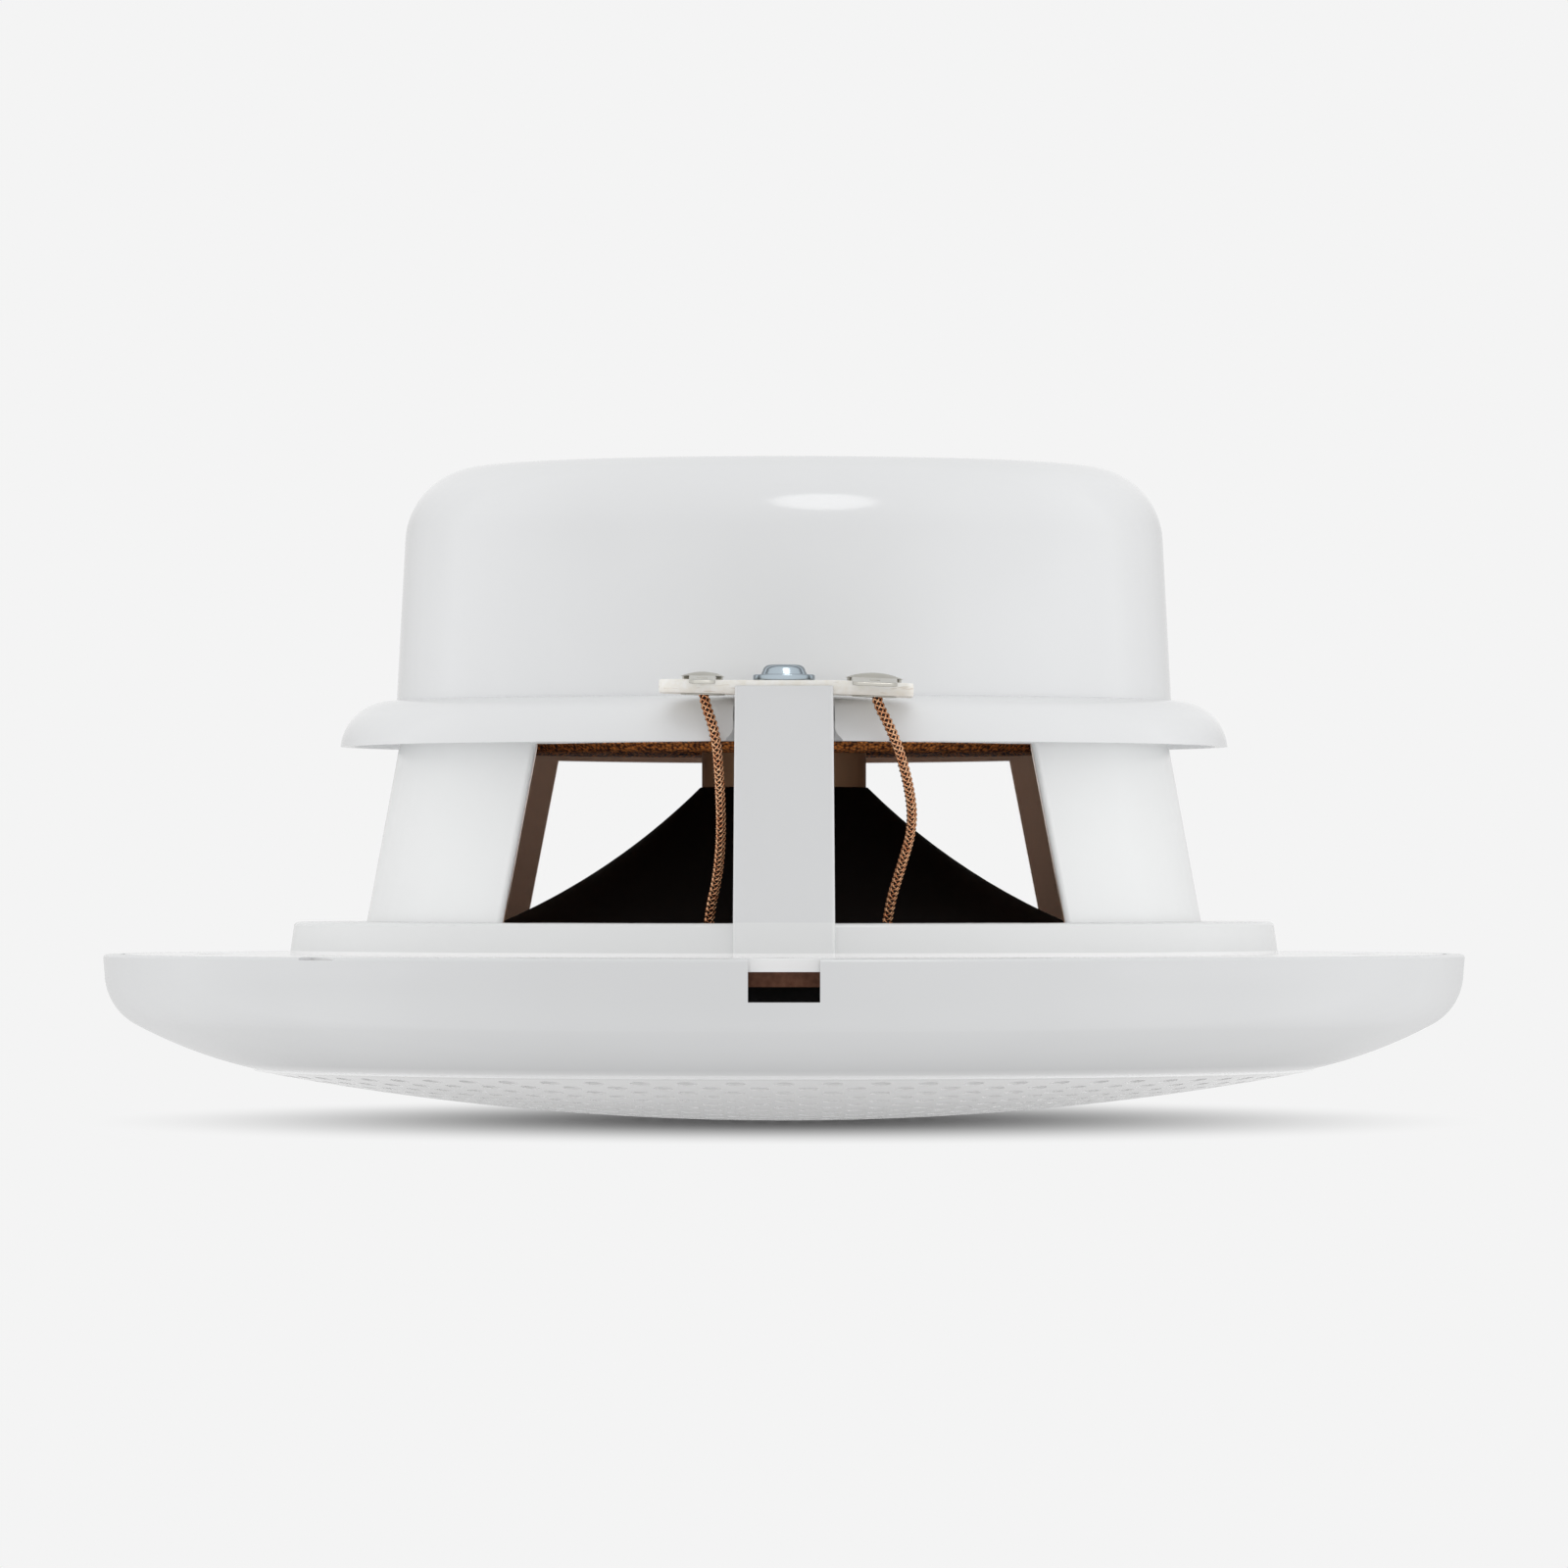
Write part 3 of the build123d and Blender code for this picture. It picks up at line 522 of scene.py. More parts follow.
    def _height(self) -> bpy.types.NodeTree:
        """Mask that is full below one height and fades out at a higher one."""
        group, source, sink = self._group(
            "height_mask", [("Low", 0.0), ("High", 0.001)], [("Mask", "NodeSocketFloat")]
        )
        place = group.nodes.new("ShaderNodeTexCoord")
        split = group.nodes.new("ShaderNodeSeparateXYZ")
        fade = group.nodes.new("ShaderNodeMapRange")
        links = group.links
        links.new(place.outputs["Object"], split.inputs[0])
        links.new(split.outputs["Z"], fade.inputs["Value"])
        links.new(source.outputs["High"], fade.inputs["From Min"])
        links.new(source.outputs["Low"], fade.inputs["From Max"])
        links.new(fade.outputs["Result"], sink.inputs["Mask"])
        return group


@dataclass(frozen=True)
class Finish:
    """A finish: two colours that a pattern mixes, gloss and the depth of its relief."""

    name: str
    colour: Colour
    second: Colour
    roughness: float
    roughness_swing: float = 0.05
    metallic: float = 0.0
    specular: float = 0.5
    bump: float = 0.05
    bump_depth: float = 0.00002
    pattern: str = "grain"
    scale: float = 1400.0
    broad: float = 45.0
    sheen: float = 0.0
    coat: float = 0.0
    # Share of painted shade that darkens the colour where faces turn away from the camera.
    limb_shade: float = 0.0

    def build(self, effects: Effects) -> bpy.types.Material:
        """Builds the node material.

        Args:
            effects: the shared node groups.

        Returns:
            The material.
        """
        material = bpy.data.materials.new(self.name)
        material.use_nodes = True
        nodes, links = material.node_tree.nodes, material.node_tree.links
        shader = nodes["Principled BSDF"]
        shader.inputs["Metallic"].default_value = self.metallic
        shader.inputs["Specular IOR Level"].default_value = self.specular
        shader.inputs["Sheen Weight"].default_value = self.sheen
        shader.inputs["Coat Weight"].default_value = self.coat
        group = nodes.new("ShaderNodeGroup")
        group.node_tree = getattr(effects, self.pattern)
        tint, relief = self._sockets(group)
        ramp = nodes.new("ShaderNodeMapRange")
        ramp.inputs["From Min"].default_value = 0.3
        ramp.inputs["From Max"].default_value = 0.7
        links.new(tint, ramp.inputs["Value"])
        mix = nodes.new("ShaderNodeMix")
        mix.data_type = "RGBA"
        mix.inputs["A"].default_value = self.colour
        mix.inputs["B"].default_value = self.second
        for socket in mix.inputs:
            if socket.type == "RGBA":
                socket.default_value = self.colour if socket.name == "A" else self.second
        links.new(ramp.outputs["Result"], mix.inputs["Factor"])
        colour = next(socket for socket in mix.outputs if socket.type == "RGBA")
        links.new(self._tinted(material, effects, colour), shader.inputs["Base Color"])
        gloss = nodes.new("ShaderNodeMapRange")
        gloss.inputs["To Min"].default_value = self.roughness - self.roughness_swing
        gloss.inputs["To Max"].default_value = self.roughness + self.roughness_swing
        links.new(tint, gloss.inputs["Value"])
        links.new(gloss.outputs["Result"], shader.inputs["Roughness"])
        bump = nodes.new("ShaderNodeBump")
        bump.inputs["Strength"].default_value = self.bump
        bump.inputs["Distance"].default_value = self.bump_depth
        links.new(relief, bump.inputs["Height"])
        links.new(bump.outputs["Normal"], shader.inputs["Normal"])
        return material

    def _sockets(self, group: bpy.types.ShaderNodeGroup):
        """Sets the group's scales and returns its mask socket and its height socket."""
        if self.pattern == "grain":
            group.inputs["Grain Scale"].default_value = self.scale
            group.inputs["Mottle Scale"].default_value = self.broad
            return group.outputs["Mottle"], group.outputs["Height"]
        if self.pattern == "weave":
            group.inputs["Threads"].default_value = self.scale
            group.inputs["Slub"].default_value = self.broad
            return group.outputs["Slubs"], group.outputs["Height"]
        group.inputs["Scale"].default_value = self.scale
        return group.outputs["Mask"], group.outputs["Height"]

    def _tinted(self, material: bpy.types.Material, effects: Effects, colour):
        """Painted shade: darkens the colour where faces turn away from the camera, less on faces that look up; a
        finish with a second region adds it here.
        """
        if not self.limb_shade:
            return colour
        # Painted shade: tones by the angle a face is seen at, darkest at grazing angles.
        tones = ((0.5, 0.0), (0.67, 0.09), (0.75, 0.16), (0.8, 0.23), (0.9, 0.4), (1.0, 0.5))
        nodes, links = material.node_tree.nodes, material.node_tree.links
        geometry = nodes.new("ShaderNodeNewGeometry")
        split = nodes.new("ShaderNodeSeparateXYZ")
        upright = nodes.new("ShaderNodeMapRange")
        upright.inputs["From Min"].default_value = 0.7
        upright.inputs["From Max"].default_value = 0.2
        upright.inputs["To Min"].default_value = 0.2
        links.new(geometry.outputs["Normal"], split.inputs[0])
        links.new(split.outputs["Z"], upright.inputs["Value"])
        shades = [(place, 1 - self.limb_shade * drop) for place, drop in tones]
        return self._banded(material, colour, shades, upright.outputs["Result"])

    @staticmethod
    def _banded(material: bpy.types.Material, colour, tones, mask=None):
        """Multiplies the colour with tones that follow the angle it is seen at, which paint shade and reflections,
        and returns it.
        """
        nodes, links = material.node_tree.nodes, material.node_tree.links
        weight = nodes.new("ShaderNodeLayerWeight")
        bands = nodes.new("ShaderNodeValToRGB")
        stops = bands.color_ramp.elements
        while len(stops) < len(tones):
            stops.new(0.5)
        for stop, (place, tone) in zip(stops, tones):
            stop.position = place
            stop.color = (tone, tone, tone, 1.0)
        mix = nodes.new("ShaderNodeMix")
        mix.data_type = "RGBA"
        mix.blend_type = "MULTIPLY"
        mix.inputs["Factor"].default_value = 1.0
        if mask:
            links.new(mask, mix.inputs["Factor"])
        colours = [socket for socket in mix.inputs if socket.type == "RGBA"]
        links.new(weight.outputs["Facing"], bands.inputs["Fac"])
        links.new(colour, colours[0])
        links.new(bands.outputs["Color"], colours[1])
        return next(socket for socket in mix.outputs if socket.type == "RGBA")

    @staticmethod
    def _over(material: bpy.types.Material, under, top: Colour, mask):
        """Mixes a plain colour over another by a mask and returns the mixed colour."""
        mix = material.node_tree.nodes.new("ShaderNodeMix")
        mix.data_type = "RGBA"
        colours = [socket for socket in mix.inputs if socket.type == "RGBA"]
        material.node_tree.links.new(mask, mix.inputs["Factor"])
        material.node_tree.links.new(under, colours[0])
        colours[1].default_value = top
        return next(socket for socket in mix.outputs if socket.type == "RGBA")

    @staticmethod
    def _below(material: bpy.types.Material, effects: Effects, low: float, high: float):
        """Adds the height mask and returns its socket."""
        mask = material.node_tree.nodes.new("ShaderNodeGroup")
        mask.node_tree = effects.height
        mask.inputs["Low"].default_value = low * MM
        mask.inputs["High"].default_value = high * MM
        return mask.outputs["Mask"]


@dataclass(frozen=True)
class ZonedFinish(Finish):
    """A finish with painted light: a brighter colour below a height."""

    # Colour of the painted light below the height, which brightens the grille's dome.
    painted_light: Colour = (1.0, 1.0, 1.0, 1.0)
    zone_low: float = 0.0
    zone_high: float = 1.0

    def _tinted(self, material: bpy.types.Material, effects: Effects, colour):
        """Mixes the painted light's colour in below its height and returns the mixed colour."""
        colour = super()._tinted(material, effects, colour)
        mask = self._below(material, effects, self.zone_low, self.zone_high)
        return self._over(material, colour, self.painted_light, mask)


@dataclass(frozen=True)
class PaintedShadeFinish(Finish):
    """A finish with painted shade: warm painted shade on the faces that look in at the axis, painted shade on the
    tower and the step ring, and a painted highlight at the step's foot.
    """

    # Colour of the painted warm shade on the faces that look in at the axis, and the radius within which it is
    # painted.
    warm_shade: Colour = (0.0, 0.0, 0.0, 1.0)
    warm_shade_radius: float = 46.5
    # Colour of the painted shade on the tower's front, and the bounds of that region.
    tower: Colour = (0.7, 0.7, 0.7, 1.0)
    tower_half: float = 11.2
    tower_back: float = -47.0
    # Colour of the painted shade on the step ring, below this height.
    step: Colour = (0.85, 0.85, 0.85, 1.0)
    step_top: float = 3.65
    # Colour of the painted highlight at the step's foot, below this height.
    foot_highlight: Colour = (1.0, 1.0, 1.0, 1.0)
    root_top: float = 0.35

    def _tinted(self, material: bpy.types.Material, effects: Effects, colour):
        """Mixes painted shade on the tower and the step ring, a painted highlight at the step's foot, the shade
        where faces turn away from the camera and the painted warm shade on the faces that look in at the axis over
        the main colour, and returns the result.
        """
        nodes, links = material.node_tree.nodes, material.node_tree.links
        # Mask of the faces that look in at the axis, which take the painted warm shade.
        mask = nodes.new("ShaderNodeGroup")
        mask.node_tree = effects.inside
        mask.inputs["Radius"].default_value = self.warm_shade_radius * MM
        # Mask of the tower's front, which takes painted shade.
        place = nodes.new("ShaderNodeTexCoord")
        split = nodes.new("ShaderNodeSeparateXYZ")
        side = nodes.new("ShaderNodeMath")
        side.operation = "ABSOLUTE"
        near = nodes.new("ShaderNodeMath")
        near.operation = "LESS_THAN"
        near.inputs[1].default_value = self.tower_half * MM
        ahead = nodes.new("ShaderNodeMath")
        ahead.operation = "LESS_THAN"
        ahead.inputs[1].default_value = self.tower_back * MM
        both = nodes.new("ShaderNodeMath")
        both.operation = "MULTIPLY"
        links.new(place.outputs["Object"], split.inputs[0])
        links.new(split.outputs["X"], side.inputs[0])
        links.new(side.outputs[0], near.inputs[0])
        links.new(split.outputs["Y"], ahead.inputs[0])
        links.new(near.outputs[0], both.inputs[0])
        links.new(ahead.outputs[0], both.inputs[1])
        colour = self._over(material, colour, self.tower, both.outputs[0])
        # Painted shade on the step ring.
        foot = self._below(material, effects, self.step_top, self.step_top + 0.1)
        colour = self._over(material, colour, self.step, foot)
        # Painted highlight at the step's foot.
        foot_highlight = self._below(material, effects, self.root_top, self.root_top + 0.1)
        colour = self._over(material, colour, self.foot_highlight, foot_highlight)
        colour = super()._tinted(material, effects, colour)
        # Painted warm shade on the faces that look in at the axis.
        return self._over(material, colour, self.warm_shade, mask.outputs["Mask"])



@dataclass(frozen=True)
class BoardFinish(Finish):
    """A pressed board with brown fibres along its cut edge, and painted shade that darkens it towards its
    underside.
    """

    fibre_and_shade: Colour = (0.3, 0.2, 0.12, 1.0)
    low: float = 28.1
    high: float = 28.9

    def _tinted(self, material: bpy.types.Material, effects: Effects, colour):
        """Mixes long fibres and painted shade towards the underside over the colour and returns the mixed colour.
        """
        nodes, links = material.node_tree.nodes, material.node_tree.links
        place = nodes.new("ShaderNodeTexCoord")
        stretch = nodes.new("ShaderNodeMapping")
        stretch.inputs["Scale"].default_value = (420.0, 420.0, 2600.0)
        fibres = nodes.new("ShaderNodeTexNoise")
        fibres.inputs["Scale"].default_value = 1.0
        fibres.inputs["Detail"].default_value = 4.0
        strong = nodes.new("ShaderNodeMapRange")
        strong.inputs["From Min"].default_value = 0.6
        strong.inputs["From Max"].default_value = 0.76
        strong.inputs["To Max"].default_value = 0.6
        split = nodes.new("ShaderNodeSeparateXYZ")
        # Painted shade: the board darkens towards its underside, in the same colour as the fibres.
        foot = nodes.new("ShaderNodeMapRange")
        foot.inputs["From Min"].default_value = self.high * MM
        foot.inputs["From Max"].default_value = self.low * MM
        foot.inputs["To Max"].default_value = 0.2
        total = nodes.new("ShaderNodeMath")
        total.operation = "ADD"
        total.use_clamp = True
        mix = nodes.new("ShaderNodeMix")
        mix.data_type = "RGBA"
        colours = [socket for socket in mix.inputs if socket.type == "RGBA"]
        links.new(place.outputs["Object"], stretch.inputs["Vector"])
        links.new(stretch.outputs["Vector"], fibres.inputs["Vector"])
        links.new(fibres.outputs["Fac"], strong.inputs["Value"])
        links.new(place.outputs["Object"], split.inputs[0])
        links.new(split.outputs["Z"], foot.inputs["Value"])
        links.new(strong.outputs["Result"], total.inputs[0])
        links.new(foot.outputs["Result"], total.inputs[1])
        links.new(total.outputs[0], mix.inputs["Factor"])
        links.new(colour, colours[0])
        colours[1].default_value = self.fibre_and_shade
        return next(socket for socket in mix.outputs if socket.type == "RGBA")


@dataclass(frozen=True)
class PlatedFinish(Finish):
    """A plated metal with painted reflections: its tone swings in bands of light and dark with the angle that it is
    seen at.
    """

    # Tone of the painted dark reflection bands.
    dark: float = 0.35
    # Share kept of the tones towards grazing angles, which paints shade on a strand's sides.
    edge: float = 1.0

    def _tinted(self, material: bpy.types.Material, effects: Effects, colour):
        """Multiplies the colour with painted reflections, bands of light and dark, and returns it."""
        tones = (
            (0.0, 1.0),
            (0.3, 0.9),
            (0.42, self.dark),
            (0.52, 0.95 * self.edge),
            (0.72, self.dark * self.edge),
            (0.85, self.edge),
        )
        return self._banded(material, colour, tones)


class Palette:
    """Every finish of the loudspeaker, built once."""

    def __init__(self) -> None:
        """Builds the shared effects and the materials."""
        effects = Effects()
        white = srgb(239, 240, 241)
        cream = srgb(236, 237, 238)
        finishes = {
            # Moulded plastic with painted shade where faces turn away from the camera.
            "plastic": Finish("moulded_plastic", white, cream, 0.13, roughness_swing=0.03, bump=0.04, limb_shade=1.0),
            # Grille: painted shade where faces turn away from the camera, and painted light that brightens the
            # dome.
            "grille": ZonedFinish(
                "grille_plastic",
                srgb(230, 231, 232),
                srgb(227, 228, 229),
                0.22,
                bump=0.04,
                limb_shade=0.65,
                painted_light=srgb(254, 254, 254),
                zone_low=-13.2,
                zone_high=-12.0,
            ),
            # Basket: painted shade where faces turn away from the camera, painted shade on the tower and the step
            # ring, a painted highlight at the step's foot and painted warm shade on the faces that look in at the
            # axis.
            "basket": PaintedShadeFinish(
                "basket_plastic",
                srgb(251, 252, 252),
                srgb(248, 249, 249),
                0.22,
                bump=0.04,
                limb_shade=0.5,
                warm_shade=srgb(252, 214, 188),
                tower=srgb(228, 229, 230),
                step=srgb(235, 236, 236),
            ),
            "cone": Finish(
                "cone_paper", srgb(11, 8, 7), srgb(16, 12, 11), 0.8, specular=0.2, scale=2600.0, bump=0.3
            ),
            # Spider cloth: the second colour paints shade in the creases between its knots.
            "cloth": Finish(
                "spider_cloth",
                srgb(250, 154, 74),
                srgb(78, 36, 12),
                0.85,
                pattern="nubs",
                scale=2400.0,
                bump=1.0,
                bump_depth=0.0002,
            ),
            "rubber": Finish("surround_rubber", srgb(16, 15, 15), srgb(22, 21, 21), 0.6, bump=0.1),
            "gasket": Finish(
                "gasket_fibre",
                srgb(150, 103, 80),
                srgb(124, 83, 64),
                0.9,
                pattern="speckle",
                scale=1500.0,
                bump=0.4,
                bump_depth=0.00008,
            ),
            # Fibre board: brown fibres, and painted shade towards its underside in the same colour.
            "board": BoardFinish(
                "fibre_board",
                srgb(255, 254, 251),
                srgb(246, 242, 233),
                0.7,
                pattern="speckle",
                scale=1100.0,
                bump=0.3,
                bump_depth=0.00005,
                fibre_and_shade=srgb(176, 150, 118),
            ),
            # Tinned brass and zinc: painted reflections in bands of light and dark by the angle they are seen at.
            "tinned": PlatedFinish(
                "tinned_brass", srgb(222, 220, 212), srgb(200, 197, 188), 0.3, metallic=1.0, dark=0.8
            ),
            "zinc": PlatedFinish(
                "zinc_plate", srgb(204, 216, 224), srgb(176, 190, 200), 0.2, metallic=1.0, dark=0.25
            ),
            "solder": Finish("solder", srgb(204, 202, 194), srgb(184, 181, 172), 0.4, metallic=1.0),
            # Painted shade for the gap under a solder cap beside the tab.
            "flux": Finish("painted_gap_shade", srgb(30, 26, 22), srgb(44, 38, 30), 0.5),
            # Tinsel: painted reflections, and painted shade on each strand's sides.
            "tinsel": PlatedFinish(
                "tinsel_copper",
                srgb(255, 206, 164),
                srgb(222, 150, 106),
                0.25,
                metallic=1.0,
                broad=1500.0,
                dark=0.6,
                edge=0.4,
            ),
            # Dark core; its colour also paints the shade in the gaps between the strands.
            "core": Finish("tinsel_core_gap_shade", srgb(34, 18, 12), srgb(26, 14, 9), 0.7),
            "former": Finish("coil_former", srgb(208, 168, 130), srgb(174, 136, 106), 0.7),
            "winding": Finish("coil_winding", srgb(176, 92, 48), srgb(150, 74, 38), 0.35, metallic=0.8),
            "steel": Finish("plated_steel", srgb(188, 188, 182), srgb(170, 170, 166), 0.35, metallic=1.0),
            "ferrite": Finish(
                "ferrite", srgb(52, 52, 53), srgb(40, 40, 41), 0.75, pattern="speckle", scale=800.0, bump=0.3
            ),
        }
        self.materials = {key: finish.build(effects) for key, finish in finishes.items()}

    def __getitem__(self, key: str) -> bpy.types.Material:
        """The material of a finish."""
        return self.materials[key]


@dataclass
class FrontGrille:
    """Bezel and perforated dome in one moulding, with its hooks and ribs."""

    rim: float = 76.0
    wall: float = 2.0
    rim_height: float = 2.6
    draft: float = 4.0
    rounding: float = 0.4
    corner: float = 6.5
    sweep: float = 61.0
    dome: float = 59.2
    dome_edge: float = 12.75
    step: float = 0.2
    dome_wall: float = 1.8
    rise: float = 5.6
    hole: float = 1.1
    first_ring: float = 56.2
    ring_pitch: float = 3.3
    hole_pitch: float = 5.1
    slot_width: float = 7.56
    slot_depth: float = 4.6
    notch_width: float = 5.0
    notch_depth: float = 0.32
    notch_angle: float = 229.0
    hook_angles: tuple[float, ...] = (35.0, 145.0, 215.0, 325.0)
    hook_width: float = 8.0
    hook_reach: float = 1.1
    hook_height: float = 0.8
    rib_angles: tuple[float, ...] = (0.0, 67.0, 113.0, 180.0, 247.0, 293.0)
    rib_width: float = 1.4
    rib_reach: float = 3.4
    rib_top: float = -1.52

    def build(self, palette: Palette) -> None:
        """Makes the grille and dresses it."""
        piece = add_object("grille_moulding", self._shell())
        combine(piece, self._holders(), Operation.WELD)
        combine(piece, self._cutter(), Operation.CUT)
        dress(piece, palette["grille"], Body.HOUSING, Slot.PLASTIC, "front_grille")

    def _shell(self) -> bmesh.types.BMesh:
        """The closed shell: outer line down to the dome, and the inner line back up."""
        sphere = (self.dome**2 + self.rise**2) / (2 * self.rise)
        centre = sphere - (self.dome_edge + self.step + self.rise)
        inner = sphere - self.dome_wall
        outer_turn = math.degrees(math.asin(self.dome / sphere))
        inner_turn = math.degrees(math.asin(self.dome / inner))
        lean = math.radians(self.draft)
        run = self.rim_height * math.tan(lean)
        turn = self.sweep - self.draft
        inner_rim = self.rim - self.wall
        inner_corner = self.corner - self.wall
        middle = inner_rim - run - inner_corner * math.cos(lean)
        level = -self.rim_height + inner_corner * math.sin(lean)
        end = math.radians(self.sweep)
        line = Outline(self.rim - self.rounding, 0)
        line.arc(self.rim - self.rounding, -self.rounding, 90 - self.draft / 2, 3)
        line.line(self.rim - run, -self.rim_height)
        line.bend(self.corner, turn, 16)
        line.curve(self.dome, -self.dome_edge, 10)
        line.line(self.dome, -self.dome_edge - self.step)
        line.arc(0, centre, outer_turn, 16)
        line.line(0, centre - inner)
        line.arc(0, centre, -inner_turn, 8)
        line.line(self.dome, -self.dome_edge + self.wall)
        line.line(middle + inner_corner * math.cos(end), level - inner_corner * math.sin(end))
        line.arc(middle, level, -turn, 8)
        line.line(inner_rim, 0)
        line.close()
        return line.revolve(288)

    def _holders(self) -> bpy.types.Object:
        """Hooks that snap over the flange, and ribs that it rests on."""
        inner = self.rim - self.wall
        foot = -self.rim_height - self.corner + self.wall + 0.6
        hook = [
            (inner + 0.4, -0.1),
            (inner - self.hook_reach / 2, -0.1),
            (inner - self.hook_reach, -self.hook_height / 2),
            (inner - self.hook_reach, -self.hook_height),
            (inner + 0.4, -self.hook_height),
        ]
        rib = [
            (inner + 0.6, self.rib_top),
            (inner - self.rib_reach, self.rib_top),
            (inner - self.rib_reach, foot - 0.8),
            (inner - 0.6, foot),
        ]
        mesh = bmesh.new()
        for outline, width, angles in (
            (hook, self.hook_width, self.hook_angles),
            (rib, self.rib_width, self.rib_angles),
        ):
            for angle in angles:
                self._fin(mesh, outline, width, angle)
        bmesh.ops.recalc_face_normals(mesh, faces=mesh.faces[:])
        return add_object("grille_holders", mesh)

    @staticmethod
    def _fin(
        mesh: bmesh.types.BMesh, outline: list[tuple[float, float]], width: float, angle: float
    ) -> None:
        """Adds an upright fin to a mesh.

        Args:
            mesh: the mesh that takes it.
            outline: its corners, as radius and height.
            width: its width across the radius.
            angle: its azimuth in degrees.
        """
        corners = [mesh.verts.new(Vector((x, -width / 2, z)) * MM) for x, z in outline]
        made = bmesh.ops.extrude_face_region(mesh, geom=[mesh.faces.new(corners)])
        moved = [item for item in made["geom"] if isinstance(item, bmesh.types.BMVert)]
        bmesh.ops.translate(mesh, verts=moved, vec=(0, width * MM, 0))
        turn = Matrix.Rotation(math.radians(angle), 3, "Z")
        bmesh.ops.rotate(mesh, verts=corners + moved, cent=(0, 0, 0), matrix=turn)

    def _cutter(self) -> bpy.types.Object:
        """Rings of round holes, the pry slot and the notch in the rear edge, as one cutter."""
        mesh = bmesh.new()
        depth = -self.dome_edge - self.rise / 2
        ring = 0
        radius = self.first_ring
        while radius > 0.5 * self.hole_pitch:
            count = 4 * max(1, round(math.tau * radius / (4 * self.hole_pitch)))
            for index in range(count):
                turn = (index + 0.5 * (ring % 2)) * math.tau / count
                place = Vector((radius * math.cos(turn), radius * math.sin(turn), depth)) * MM
                bmesh.ops.create_cone(
                    mesh,
                    cap_ends=True,
                    segments=14,
                    radius1=self.hole * MM,
                    radius2=self.hole * MM,
                    depth=12 * MM,
                    matrix=Matrix.Translation(place),
                )
            ring += 1
            radius -= self.ring_pitch
        height = self.slot_depth + 1
        slot = Vector((0, -self.rim, 1 - height / 2)) * MM
        bmesh.ops.create_cube(
            mesh,
            size=1,
            matrix=Matrix.Translation(slot)
            @ Matrix.Diagonal((self.slot_width * MM, 9 * MM, height * MM, 1)),
        )
        bmesh.ops.create_cube(
            mesh,
            size=1,
            matrix=Matrix.Rotation(math.radians(self.notch_angle), 4, "Z")
            @ Matrix.Translation(Vector((self.rim - self.wall / 2, 0, 0)) * MM)
            @ Matrix.Diagonal((4 * MM, self.notch_width * MM, 2 * self.notch_depth * MM, 1)),
        )
        return add_object("grille_cutter", mesh)


